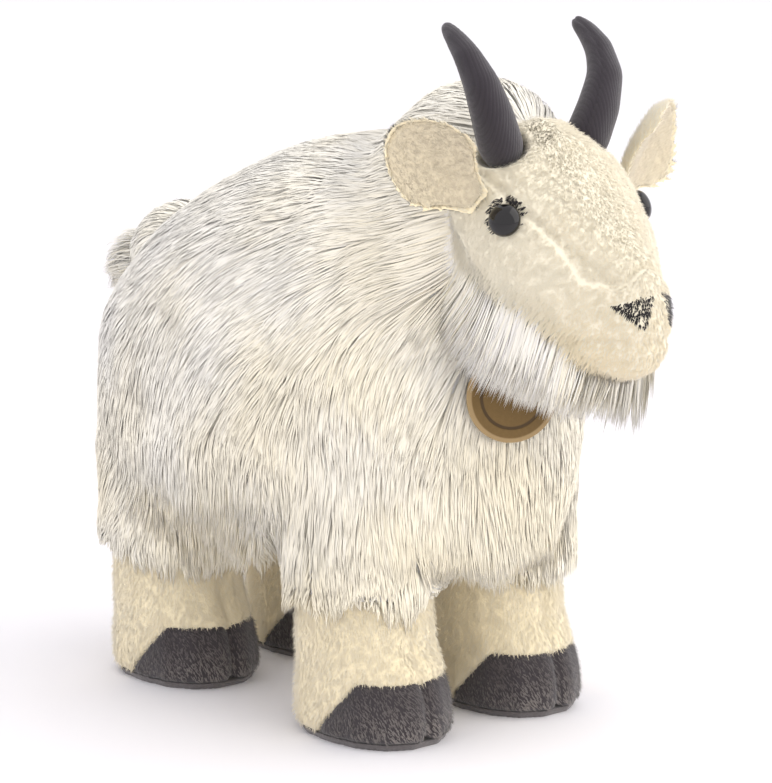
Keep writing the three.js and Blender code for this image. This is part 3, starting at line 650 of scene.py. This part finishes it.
# %% Comb directions of the coat
def coat_comb(at, out):
    """Back along the spine, slanting down the flanks and straight down at the hem."""
    rise = ramp(at[:, 2], body_low[2], body_low[2] + 0.17)
    swirl = 0.3 * waves(at, 0.11, 5)
    back = 0.12 + 0.85 * rise**1.3 + swirl
    down = 1.05 - 0.7 * rise
    aside = 0.2 * np.clip(at[:, 0] / 0.05, -1, 1) * rise + 0.12 * waves(at, 0.08, 6)
    return unit(np.stack([aside, back, -down], axis=1))


def coat_cling(out):
    """Pile lies on the skin, and lets go of it where it turns under."""
    return 0.85 * ramp(out[:, 2], -0.55, -0.1)


print("pile at the back looks", coat_comb(np.array([[0.03, 0.05, body_high[2]]]), None).round(2)[0])


# %% Sow and comb the coat
COAT_SPACING, COAT_LENGTH, COAT_HEIGHT, COAT_WIDTH = 1.35 * MM, 26 * MM, 3.6 * MM, 0.99 * MM
BANDS = 4  # from the chest to the rump


def coat(name, keep, seed):
    """Long pile on a part of the body's skin, clear of the head."""
    root, normal = sow(body_skin, COAT_SPACING, seed, keep)
    clear = above(head_tree, root)[2] > 0.5 * MM
    root, normal = root[clear], normal[clear]
    draw = np.random.default_rng(seed + 1)
    count = len(root)
    long = COAT_LENGTH * (1 + 0.22 * waves(root, 0.05, 8)) * draw.uniform(0.75, 1.2, count)
    hem = 1 - ramp(root[:, 2], HEM, HEM + 38 * MM)
    long = long * (1 - 0.7 * hem + 0.35 * hem * np.clip(waves(root, 0.035, 12), -1, 1))
    high = COAT_HEIGHT * (1 + 0.15 * waves(root, 0.035, 9)) * draw.uniform(0.8, 1.1, count)
    line = walk(body_tree, root, normal, coat_comb, long, high, 3, coat_cling)
    line = gather(gather(line, 9.0, 0.3, seed + 2), 4.5, 0.25, seed + 4)
    line = ruffle(line, normal, 0.6 * MM, seed + 3)
    tint = 0.4 + 0.22 * ramp(root[:, 2], 0.2, 0.09) + 0.1 * ramp(root[:, 1], 0.02, -0.08)
    tint = np.clip(tint + 0.12 * waves(root, 0.06, 10) + draw.normal(size=count) * 0.04, 0, PALE_END)
    wide = draw.uniform(0.5, 1.0, count) * COAT_WIDTH
    return spikes(name, line, normal, lit(normal), wide, tint, long_pile, "goat")


edges = np.linspace(body_low[1] - 0.001, body_high[1] + 0.001, BANDS + 1)
for side, sign in SIDES:
    for band in range(BANDS):
        low, high = edges[band], edges[band + 1]
        coat(
            f"coat_{side}_{band + 1}",
            lambda r, n: (r[:, 0] * sign >= 0) & (r[:, 1] >= low) & (r[:, 1] < high) & (n[:, 2] > -0.8),
            100 + 10 * band + sign,
        )

# %% [markdown]
# ## The face
# The face has short cream plush. Seams run along both sides of the nose bridge, under it and over the
# chin, and each draws the plush in, and so is the muzzle drawn in at its tip. The dark fur round the
# eyes and at the nostrils is sprayed on: a spike is dark if its root or its tip is in the spray.

# %% Draw the seams of the face in
bridge, chin = ["nose_bridge_panel"], ["chin_panel"]
cheeks = ["face_panel_right", "face_panel_left"]
FACE_SEAM = 2.0 * MM
press(head_skin, seam_near(head_skin, bridge, cheeks), 2.0 * MM, FACE_SEAM)
press(head_skin, seam_near(head_skin, chin, cheeks), 1.6 * MM, FACE_SEAM)
at = points(head_skin)
at[:, 0] *= 1 - 0.24 * ramp(-at[:, 1], 0.134, 0.163)
move_points(head_skin, at)
head_tree = skin_tree(head_skin)
print("muzzle", round(2000 * at[at[:, 1] < -0.16, 0].max()), "mm wide near its tip")

# %% Sprayed fur round the eyes and nostrils
EYE_RADIUS, EYE_HEIGHT = 6.5 * MM, 4.1 * MM
EYE_SPRAY, EYE_SPRAY_SHIFT = 7.7 * MM, np.array((0, 1.0, 1.6)) * MM
NOSTRIL, NOSTRIL_REACH = np.array((8.0, -168.5, 187.6)) * MM, (0.0055, 0.008, 0.0045)
NOSTRIL_CORNERS = np.array(((15.0, 189.6), (2.6, 193.0), (7.0, 180.2))) * MM  # across and up
eye_at = {}
for side, sign in SIDES:
    eye, washer = (points(frame["nodes"][node]) for node in (f"eye_{side}", f"eye_washer_{side}"))
    out = unit(eye.mean(0) - washer.mean(0))
    front = ((eye - washer.mean(0)) @ out).max()
    eye_at[side] = (washer.mean(0) + out * (front - EYE_HEIGHT), out)
EYE = eye_at["left"][0]
print("eyes at", EYE.round(4))


def sprayed(at):
    """1 where the plush is sprayed dark and 0 where it isn't."""
    mirror = np.abs(at[:, 0])
    folded = np.stack([mirror, at[:, 1], at[:, 2]], axis=1)
    eye = np.linalg.norm(folded - EYE - EYE_SPRAY_SHIFT, axis=1)
    out = np.full(len(at), -1.0)
    middle = NOSTRIL_CORNERS.mean(0)
    for a, b in zip(NOSTRIL_CORNERS, np.roll(NOSTRIL_CORNERS, -1, axis=0)):
        across = np.array((b[1] - a[1], a[0] - b[0]))
        across = across / np.linalg.norm(across)
        across = across * np.sign(across @ (a - middle))
        out = np.maximum(out, (np.stack([mirror, at[:, 2]], axis=1) - a) @ across)
    nostril = (1 - ramp(out, -0.8 * MM, 0.6 * MM)) * (at[:, 1] < -0.15)
    return np.maximum(1 - ramp(eye, 0.75 * EYE_SPRAY, 1.15 * EYE_SPRAY), nostril)


# %% The same spray on the skin
def make_spray_group():
    group, given, result = new_group(
        "spray",
        [("Centre", "NodeSocketVector", None), ("Reach", "NodeSocketVector", None)],
        [("Mask", "NodeSocketFloat")],
    )
    place = group.nodes.new("ShaderNodeTexCoord")
    last = place.outputs["Object"]
    steps = (("ABSOLUTE", None), ("SUBTRACT", "Centre"), ("DIVIDE", "Reach"), ("LENGTH", None))
    for operation, other in steps:
        step = group.nodes.new("ShaderNodeVectorMath")
        step.operation = operation
        group.links.new(last, step.inputs[0])
        if other:
            group.links.new(given.outputs[other], step.inputs[1])
        last = step.outputs["Value" if operation == "LENGTH" else "Vector"]
    soft = add_node(group, "ShaderNodeMapRange", From_Min=1.15, From_Max=0.75)
    group.links.new(last, soft.inputs["Value"])
    group.links.new(soft.outputs[0], result.inputs["Mask"])
    return group


spray = make_spray_group()
tree = cream_skin.node_tree
shader = tree.nodes["Principled BSDF"]
painted = shader.inputs["Base Color"].links[0].from_socket
for centre, reach in ((EYE + EYE_SPRAY_SHIFT, (EYE_SPRAY,) * 3), (NOSTRIL, NOSTRIL_REACH)):
    spot = tree.nodes.new("ShaderNodeGroup")
    spot.node_tree = spray
    spot.inputs["Centre"].default_value = tuple(centre)
    spot.inputs["Reach"].default_value = reach
    painted = mixed(tree, spot.outputs[0], painted, color(36, 31, 31))
tree.links.new(painted, shader.inputs["Base Color"])
print("sprayed at", EYE.round(3), "and", NOSTRIL.round(3), "and their mirrors")

# %% The cheek seam, where the long pile begins
SEAM_TOP = np.array((-94.8, 216.0)) * MM  # back and up
SEAM_WAY = np.array((-1.0, -1.0)) / math.sqrt(2)
SEAM_BOW, SEAM_WAVE = 8 * MM, 90 * MM


def behind_seam(at):
    """How far a place is behind the curved seam that runs from the ear to the chin."""
    away = np.stack([at[:, 1], at[:, 2]], axis=1) - SEAM_TOP
    along = away @ SEAM_WAY
    ahead = away @ np.array((SEAM_WAY[0], -SEAM_WAY[1]))
    return SEAM_BOW * np.sin(2 * math.pi * (along - 30 * MM) / SEAM_WAVE) - ahead


print("the eye is", round(-1000 * behind_seam(np.array([EYE]))[0]), "mm ahead of the cheek seam")


# %% Plush on the face
def face_comb(at, out):
    """Plush strokes down the face from the forehead and back from the nose."""
    aside = 0.5 * np.sign(at[:, 0]) * ramp(np.abs(at[:, 0]), 0, 0.03)
    return np.stack([aside, np.full(len(at), 0.25), np.full(len(at), -0.8)], axis=1)


def on_face(root, normal):
    """Where the plush grows: off the eyes and the bridge's seams, ahead of the cheek seam."""
    eye = np.array([eye_at[side][0] for side, _ in SIDES])
    clear = np.min([np.linalg.norm(root - e, axis=1) for e in eye], axis=0) > 6.3 * MM
    seam = np.maximum(gap_to(cheeks, root), gap_to(bridge, root)) > 0.9 * MM
    return clear & seam & (behind_seam(root) < 2 * MM) & (above(body_tree, root)[2] > 0)


def face_tint(root, normal):
    warm = 0.55 + 0.2 * ramp(root[:, 2], 0.2, 0.16) - 0.12 * ramp(np.abs(root[:, 0]), 0.02, 0.04)
    return np.where(sprayed(root) > 0.3, 0.97, warm)


def face_length(root):
    """Plush that grows longer towards the cheek seam, where it blends into the long pile."""
    return 2.3 * MM + 4.5 * MM * ramp(behind_seam(root), -9 * MM, 1 * MM)


FACE_PILE = (0.68 * MM, face_length, 0.6 * MM, 0.58)
fuzz(
    "face_plush_pile",
    head_skin,
    on_face,
    face_comb,
    FACE_PILE,
    face_tint,
    cream_pile,
    "goat",
    300,
)


# %% Cheek fur and beard
def cheek_comb(at, out):
    aside = 0.12 * np.sign(at[:, 0]) + 0.1 * waves(at, 0.05, 21)
    back = 0.2 + 0.5 * ramp(at[:, 1], -0.135, -0.095) + 0.15 * waves(at, 0.06, 22)
    return unit(np.stack([aside, back, -np.ones(len(at))], axis=1))


def cheek_cling(out):
    return 0.8 * ramp(out[:, 2], -0.5, 0.1)


def long_fur(name, piece, tree, keep, comb, cling, shape, body, seed, warm=0.0):
    """Long pile on a skin. shape is (spacing, length, height, width)."""
    spacing, length, height, width = shape
    root, normal = sow(piece, spacing, seed, keep)
    draw = np.random.default_rng(seed + 1)
    count = len(root)
    long = length * (1 + 0.2 * waves(root, 0.04, 8)) * draw.uniform(0.7, 1.2, count)
    high = height * (1 + 0.2 * waves(root, 0.03, 9)) * draw.uniform(0.6, 1.2, count)
    line = walk(tree, root, normal, comb, long, high, 3, cling)
    line = gather(line, 5.0, 0.35, seed + 2)
    line = ruffle(line, normal, 0.9 * MM, seed + 3)
    tint = np.clip(0.42 + warm + 0.16 * waves(root, 0.05, 10) + draw.normal(size=count) * 0.1, 0, PALE_END)
    wide = draw.uniform(0.5, 1.0, count) * width
    return spikes(name, line, normal, lit(normal), wide, tint, long_pile, body)


CHEEK_TOP = 0.24


def on_cheek(root, sign):
    """Behind the cheek seam on one side, down to a little inside the body."""
    behind = (root[:, 0] * sign >= 0) & (behind_seam(root) > 0) & (root[:, 2] < CHEEK_TOP)
    return behind & (above(body_tree, root)[2] > -3 * MM)


for side, sign in SIDES:
    cheek = long_fur(
        f"cheek_fur_{side}_strands",
        head_skin,
        head_tree,
        lambda r, n: on_cheek(r, sign),
        cheek_comb,
        cheek_cling,
        (0.86 * MM, 30 * MM, 7 * MM, 0.85 * MM),
        "goat",
        330 + sign,
        0.06,
    )
    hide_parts(f"cheek_fur_{side}")


# %% [markdown]
# ## The eyes
# Each eye is a glossy plastic dome: a black pupil, a dark brown ring and a black edge under one clear
# coat. Its stem goes through the face, and a washer grips it from behind. A sphere flattened along
# the eye's own direction gives the dome, and its lower half is sunk in the plush.

# %% Domes and their colours
def make_ring_group():
    group, given, result = new_group(
        "eye_rings", [("Centre", "NodeSocketVector", None)], [("Iris", "NodeSocketFloat")]
    )
    place = group.nodes.new("ShaderNodeTexCoord")
    last = place.outputs["Object"]
    for operation in ("ABSOLUTE", "DISTANCE"):
        step = group.nodes.new("ShaderNodeVectorMath")
        step.operation = operation
        group.links.new(last, step.inputs[0])
        if operation == "DISTANCE":
            group.links.new(given.outputs["Centre"], step.inputs[1])
        last = step.outputs["Value" if operation == "DISTANCE" else "Vector"]
    inner = add_node(group, "ShaderNodeMapRange", From_Min=3.6 * MM, From_Max=4.3 * MM)
    outer = add_node(group, "ShaderNodeMapRange", From_Min=6.9 * MM, From_Max=6.2 * MM)
    for edge in (inner, outer):
        group.links.new(last, edge.inputs["Value"])
    group.links.new(mathed(group, "MULTIPLY", inner.outputs[0], outer.outputs[0]), result.inputs["Iris"])
    return group


eye_gloss = new_material("glossy_eye", 0.08)
tree = eye_gloss.node_tree
shader = tree.nodes["Principled BSDF"]
shader.inputs["Specular IOR Level"].default_value = 0.2
shader.inputs["Coat Weight"].default_value = 0.7
shader.inputs["Coat Roughness"].default_value = 0.03
rings = tree.nodes.new("ShaderNodeGroup")
rings.node_tree = make_ring_group()
rings.inputs["Centre"].default_value = tuple(eye_at["left"][0] + eye_at["left"][1] * EYE_HEIGHT)
iris = mixed(tree, rings.outputs[0], color(12, 9, 9), color(104, 58, 32))
tree.links.new(iris, shader.inputs["Base Color"])

for side, sign in SIDES:
    seat, out = (Vector(v) for v in eye_at[side])
    bpy.ops.mesh.primitive_uv_sphere_add(segments=48, ring_count=24, radius=EYE_RADIUS, location=seat)
    dome = bpy.context.object
    dome.name = f"eye_{side}_dome"
    dome.scale = (1, 1, EYE_HEIGHT / EYE_RADIUS)
    dome.rotation_euler = out.to_track_quat("Z", "Y").to_euler()
    bpy.ops.object.transform_apply(location=True, rotation=True, scale=True)
    bpy.ops.object.shade_smooth()
    dome.data.materials.append(eye_gloss)
    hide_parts(f"eye_{side}")
    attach(dome, "goat")
    print(dome.name, "stands", round(1000 * EYE_HEIGHT, 1), "mm high at", [round(v, 3) for v in seat])


# %% [markdown]
# ## Legs, hooves and soles
# A leg is two panels sewn down its middle, front and back. The dark toe is two panels as well, and
# its front seam is drawn in deep, so that it looks cloven. A flat sole closes the foot. The four legs
# are made by one loop, because only their packed panels differ.

# %% Forms of the legs
def leg_comb(at, out):
    return np.stack([0.12 * waves(at, 0.03, 31), 0.12 * waves(at, 0.03, 32), -np.ones(len(at))], axis=1)


def hoof_comb(at, out):
    return np.stack([0.2 * waves(at, 0.02, 33), np.full(len(at), -0.6), np.full(len(at), -0.5)], axis=1)


LEG_PILE, HOOF_PILE = (1.05 * MM, 3.0 * MM, 0.75 * MM, 0.6), (0.9 * MM, 2.4 * MM, 0.6 * MM, 0.6)
LEG_PILE_TOP = 0.085  # the coat hides the leg above this
UNDER = -0.6  # no pile where the skin looks down more than this

for number, leg in enumerate(f"{end}_{side}" for end in ENDS for side, _ in SIDES):
    outer, inner = [f"leg_{leg}_outer"], [f"leg_{leg}_inner"]
    toe_outer, toe_inner = [f"hoof_{leg}_outer"], [f"hoof_{leg}_inner"]
    filling, sole = f"leg_filling_{leg}", f"sole_{leg}"

    leg_form = form(f"leg_{leg}_plush", outer + inner + [filling], 1.7 * MM, 4)
    press(leg_form, seam_near(leg_form, outer, inner), 1.3 * MM, 1.8 * MM)
    hoof_form = form(f"hoof_{leg}_plush", toe_outer + toe_inner + [filling], 1.5 * MM, 8)
    press(hoof_form, seam_near(hoof_form, toe_outer, toe_inner), 2.4 * MM, 2.0 * MM)
    sole_form = form(f"sole_{leg}_plush", [sole], 1.2 * MM, 1)
    at = points(sole_form)
    at[:, 2] = np.where(at[:, 2] < 1 * MM, 0, at[:, 2])
    move_points(sole_form, at)

    for piece, nodes, finish, slot in (
        (leg_form, outer + inner + [filling], leg_skin, "short_plush"),
        (hoof_form, toe_outer + toe_inner, hoof_skin, "hoof_plush"),
        (sole_form, [sole], sole_skin, "sole_plush"),
    ):
        piece.data.materials.append(finish)
        smooth_shaded(piece)
        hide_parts(*nodes)
        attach(piece, "goat")

    toe_tip = points(hoof_form)[:, 1].min()
    fuzz(
        f"leg_{leg}_pile",
        leg_form,
        lambda r, n: (gap_to(outer + inner, r) < 1 * MM) & (r[:, 2] < LEG_PILE_TOP) & (n[:, 2] > UNDER),
        leg_comb,
        LEG_PILE,
        lambda r, n: np.full(len(r), 0.62),
        cream_pile,
        "goat",
        400 + 10 * number,
    )
    fuzz(
        f"hoof_{leg}_pile",
        hoof_form,
        lambda r, n: (gap_to(toe_outer + toe_inner, r) < 1 * MM) & (n[:, 2] > UNDER),
        hoof_comb,
        HOOF_PILE,
        lambda r, n: 0.3 + 0.3 * ramp(r[:, 2], 0.024, 0.004) + 0.1 * ramp(r[:, 1], toe_tip + 0.02, toe_tip),
        hoof_pile,
        "goat",
        405 + 10 * number,
    )


# %% [markdown]
# ## Horns
# Each horn is two velour panels sewn along its length, filled firmly. The velour has a fine rib, which
# is bump and painted light, lighter on its raised ribs, because it is finer than a useful mesh. Many
# rounds of smoothing take the packed rings out of the curve.

# %% Ribbed velour
def make_velour():
    material = new_material("ribbed_horn_velour", 0.85, 0.35)
    tree = material.node_tree
    shader = tree.nodes["Principled BSDF"]
    grain = tree.nodes.new("ShaderNodeGroup")
    grain.node_tree = cloth_grain
    grain.inputs["Light"].default_value = color(45, 38, 45)
    grain.inputs["Deep"].default_value = color(29, 24, 30)
    grain.inputs["Scale"].default_value = 1400.0
    place = tree.nodes.new("ShaderNodeTexCoord")
    rib = add_node(tree, "ShaderNodeTexWave", Scale=240.0, Distortion=1.2, Detail=1.0, Detail_Scale=60.0)
    rib.wave_type = "BANDS"
    rib.bands_direction = "X"
    tree.links.new(place.outputs["Object"], rib.inputs["Vector"])
    fine = mathed(tree, "MULTIPLY", grain.outputs["Height"], 0.4)
    relief = mathed(tree, "MULTIPLY_ADD", rib.outputs["Fac"], 0.6, fine)
    raised = add_node(tree, "ShaderNodeBump", Strength=0.6, Distance=0.2 * MM)
    tree.links.new(relief, raised.inputs["Height"])
    tree.links.new(raised.outputs[0], shader.inputs["Normal"])
    # Painted light: the raised ribs are lighter and the grooves between them darker.
    paler = mathed(tree, "MULTIPLY", rib.outputs["Fac"], 0.2)
    paint = mixed(tree, paler, grain.outputs["Color"], color(62, 54, 64))
    tree.links.new(paint, shader.inputs["Base Color"])
    return material


horn_velour = make_velour()

# %% The horns
for side, sign in SIDES:
    front, back = [f"horn_{side}_front"], [f"horn_{side}_back"]
    horn = form(f"horn_{side}_velour", front + back + [f"horn_filling_{side}"], 1.2 * MM, 36)
    press(horn, seam_near(horn, front, back), 0.7 * MM, 0.9 * MM)
    horn.data.materials.append(horn_velour)
    smooth_shaded(horn)
    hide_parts(*front, *back, f"horn_filling_{side}")
    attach(horn, f"horn_{side}")
    print(horn.name, len(horn.data.polygons), "faces, tip at", points(horn).max(0)[2].round(3))


# %% [markdown]
# ## Ears
# An ear is two layers sewn at the rim. The back layer rolls forward round the rim, and the warmer
# lining sits inside it in a deep cup. Each layer is pushed about in the ear's own three directions:
# lengthways, across it, and out of its open side.

# %% Cup and roll the ears
lining_skin = cloth_material("warm_ear_lining", color(222, 212, 184), color(206, 190, 160))
LININGS = color(214, 202, 176), color(228, 217, 189), color(232, 211, 182), color(120, 100, 84)
# Its last number is the brightness that painted shade leaves at the lining pile's roots.
lining_pile = pile_material("warm_lining_pile", *LININGS, 0.85)
EAR_LONG, EAR_HALF = 47 * MM, 18.5 * MM
CUP, ROLL, ROOT_TUCK = 3.0 * MM, 3.4 * MM, 3.5 * MM
for side, sign in SIDES:
    root = joints[f"ear_{side}_flex"]
    lengthways = unit(np.array((0.765 * sign, 0.18, 0.61)))
    facing = np.array((0.37 * sign, -0.913, -0.17))
    facing = unit(facing - (facing @ lengthways) * lengthways)
    across = np.cross(lengthways, facing)
    for layer, node, inside in (("back", f"ear_{side}_back", 0), ("lining", f"ear_{side}_front", 1)):
        ear = form(f"ear_{side}_{layer}_plush", [node], 0.9 * MM, 2)
        at = points(ear) - root
        long, wide, deep = at @ lengthways, at @ across, at @ facing
        rim = np.sqrt((wide / EAR_HALF) ** 2 + ((long - 0.49 * EAR_LONG) / (0.52 * EAR_LONG)) ** 2)
        tight = 1 - 0.06 * inside
        wide = wide * tight
        long = 0.49 * EAR_LONG + (long - 0.49 * EAR_LONG) * tight
        deep = deep - CUP * (1 - np.clip(rim, 0, 1) ** 2) + (1 - inside) * ROLL * ramp(rim, 0.7, 1.0)
        long = long - ROOT_TUCK * ramp(long, 9 * MM, 0)
        move_points(ear, root + long[:, None] * lengthways + wide[:, None] * across + deep[:, None] * facing)
        worked(ear, "SMOOTH", factor=0.5, iterations=2)
        ear.data.materials.append(lining_skin if inside else leg_skin)
        smooth_shaded(ear)
        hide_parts(node)
        slot = "ear_lining" if inside else "short_plush"
        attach(ear, f"ear_{side}")
        fuzz(
            f"ear_{side}_{layer}_pile",
            ear,
            lambda r, n: (n @ facing > 0.25) if inside else (r[:, 2] > 0),
            lambda a, n: np.broadcast_to(lengthways, a.shape),
            (0.8 * MM, (2.0 if inside else 2.6) * MM, 0.55 * MM, 0.62),
            lambda r, n: np.full(len(r), 0.5),
            lining_pile if inside else cream_pile,
            f"ear_{side}",
            520 + sign if inside else 500 + sign,
        )


# %% [markdown]
# ## Tail
# The tail is a small pad whose long pile makes most of its size.

# %% The tail and its strands
tail_skin = form("tail_pad", ["tail_top_panel", "tail_under_panel"], 1.8 * MM, 3, 4 * MM)
tail_skin.data.materials.append(coat_skin)
smooth_shaded(tail_skin)
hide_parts("tail_top_panel", "tail_under_panel")
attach(tail_skin, "tail")


def tail_comb(at, out):
    """Back and a little down, and spread to both sides."""
    down = 0.35 + 0.2 * ramp(at[:, 1], 0.15, 0.17)
    return unit(np.stack([0.5 * at[:, 0] / 0.015, np.full(len(at), 0.9), -down], axis=1))


long_fur(
    "tail_strands",
    tail_skin,
    skin_tree(tail_skin),
    lambda r, n: r[:, 1] > joints["tail_flex"][1] - 2 * MM,
    tail_comb,
    lambda o: np.full(len(o), 0.6),
    (0.9 * MM, 22 * MM, 10 * MM, 0.6 * MM),
    "tail",
    600,
)


# %% [markdown]
# ## Tag
# A round tag of imitation leather hangs on a cord ring at the throat. It has a paler edge and one
# dark ring pressed into its face.

# %% The tag's disc
TAG_RADIUS, TAG_THICK, HOLE_RADIUS = 19 * MM, 1.8 * MM, 2.5 * MM
SLACK, HOLE_INSET = 1.9 * MM, 2.2 * MM
TAG_TURN = math.radians(-26)
hinge = joints["tag_swing"]
TAG_DROP = TAG_RADIUS - (SLACK + HOLE_INSET)
tag_middle = Vector(hinge) + Vector((0, 0, -TAG_DROP))
hole = (0, TAG_DROP + SLACK - HOLE_RADIUS, 0)
bpy.ops.mesh.primitive_cylinder_add(vertices=128, radius=TAG_RADIUS, depth=TAG_THICK)
disc = bpy.context.object
disc.name = "tag_leather_disc"
bpy.ops.mesh.primitive_cylinder_add(vertices=40, radius=HOLE_RADIUS, depth=4 * TAG_THICK, location=hole)
drill = bpy.context.object
worked(disc, "BOOLEAN", operation="DIFFERENCE", object=drill, solver="EXACT")
only(drill)
bpy.ops.object.delete()
worked(disc, "BEVEL", width=0.45 * MM, segments=3, limit_method="ANGLE", angle_limit=math.radians(40))
only(disc)
disc.rotation_euler = (math.pi / 2, 0, TAG_TURN)
disc.location = tag_middle
bpy.ops.object.transform_apply(location=True, rotation=True, scale=True)
smooth_shaded(disc, 35)
print("tag", round(2000 * TAG_RADIUS), "mm across, hung at", hinge.round(3))


# %% Leather with a pressed ring
def make_tag_leather():
    material = new_material("olive_tag_leather", 0.5)
    tree = material.node_tree
    shader = tree.nodes["Principled BSDF"]
    place = tree.nodes.new("ShaderNodeTexCoord")
    reach = tree.nodes.new("ShaderNodeVectorMath")
    reach.operation = "DISTANCE"
    reach.inputs[1].default_value = tag_middle
    tree.links.new(place.outputs["Object"], reach.inputs[0])
    far = reach.outputs["Value"]
    grain = tree.nodes.new("ShaderNodeGroup")
    grain.node_tree = cloth_grain
    grain.inputs["Light"].default_value = color(130, 104, 60)
    grain.inputs["Deep"].default_value = color(100, 77, 40)
    grain.inputs["Scale"].default_value = 700.0
    grain.inputs["Blotch"].default_value = 90.0
    edge = add_node(tree, "ShaderNodeMapRange", From_Min=16.9 * MM, From_Max=17.5 * MM)
    inner = add_node(tree, "ShaderNodeMapRange", From_Min=12.2 * MM, From_Max=12.6 * MM)
    outer = add_node(tree, "ShaderNodeMapRange", From_Min=13.9 * MM, From_Max=13.5 * MM)
    for band in (edge, inner, outer):
        tree.links.new(far, band.inputs["Value"])
    ring = mathed(tree, "MULTIPLY", inner.outputs[0], outer.outputs[0])
    paint = mixed(tree, mathed(tree, "MULTIPLY", ring, 0.75), grain.outputs["Color"], color(58, 44, 28))
    paint = mixed(tree, mathed(tree, "MULTIPLY", edge.outputs[0], 0.8), paint, color(176, 150, 108))
    tree.links.new(paint, shader.inputs["Base Color"])
    relief = mathed(tree, "MULTIPLY_ADD", ring, -0.8, mathed(tree, "MULTIPLY", grain.outputs["Height"], 0.35))
    raised = add_node(tree, "ShaderNodeBump", Strength=0.7, Distance=0.3 * MM)
    tree.links.new(relief, raised.inputs["Height"])
    tree.links.new(raised.outputs[0], shader.inputs["Normal"])
    return material


disc.data.materials.append(make_tag_leather())
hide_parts("tag_disc")
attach(disc, "tag")

# %% The cord ring and the washers
LOOP_RADIUS, LOOP_WIRE = 4.4 * MM, 1.3 * MM
bpy.ops.mesh.primitive_torus_add(
    major_segments=64, minor_segments=12, major_radius=LOOP_RADIUS, minor_radius=LOOP_WIRE / 2
)
loop = bpy.context.object
loop.name = "tag_cord_ring"
loop.rotation_euler = (0, math.pi / 2, TAG_TURN)
loop.location = Vector(hinge) + Vector((0, 0, LOOP_RADIUS))
bpy.ops.object.transform_apply(location=True, rotation=True, scale=True)
bpy.ops.object.shade_smooth()
tag_cord = cloth_material("tag_cord", color(226, 216, 194), color(190, 178, 154), 2200.0, 300.0)
loop.data.materials.append(tag_cord)
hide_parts("tag_loop")
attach(loop, "goat")

washer_plastic = cloth_material(
    "washer_plastic", color(224, 224, 220), color(208, 208, 204), 500.0, 120.0, 0.05 * MM, 0.5, 0.0
)
for side, sign in SIDES:
    washer = frame["nodes"][f"eye_washer_{side}"]
    washer.data.materials.clear()
    washer.data.materials.append(washer_plastic)
print("cord ring", loop.name, "and two washers of", washer_plastic.name)
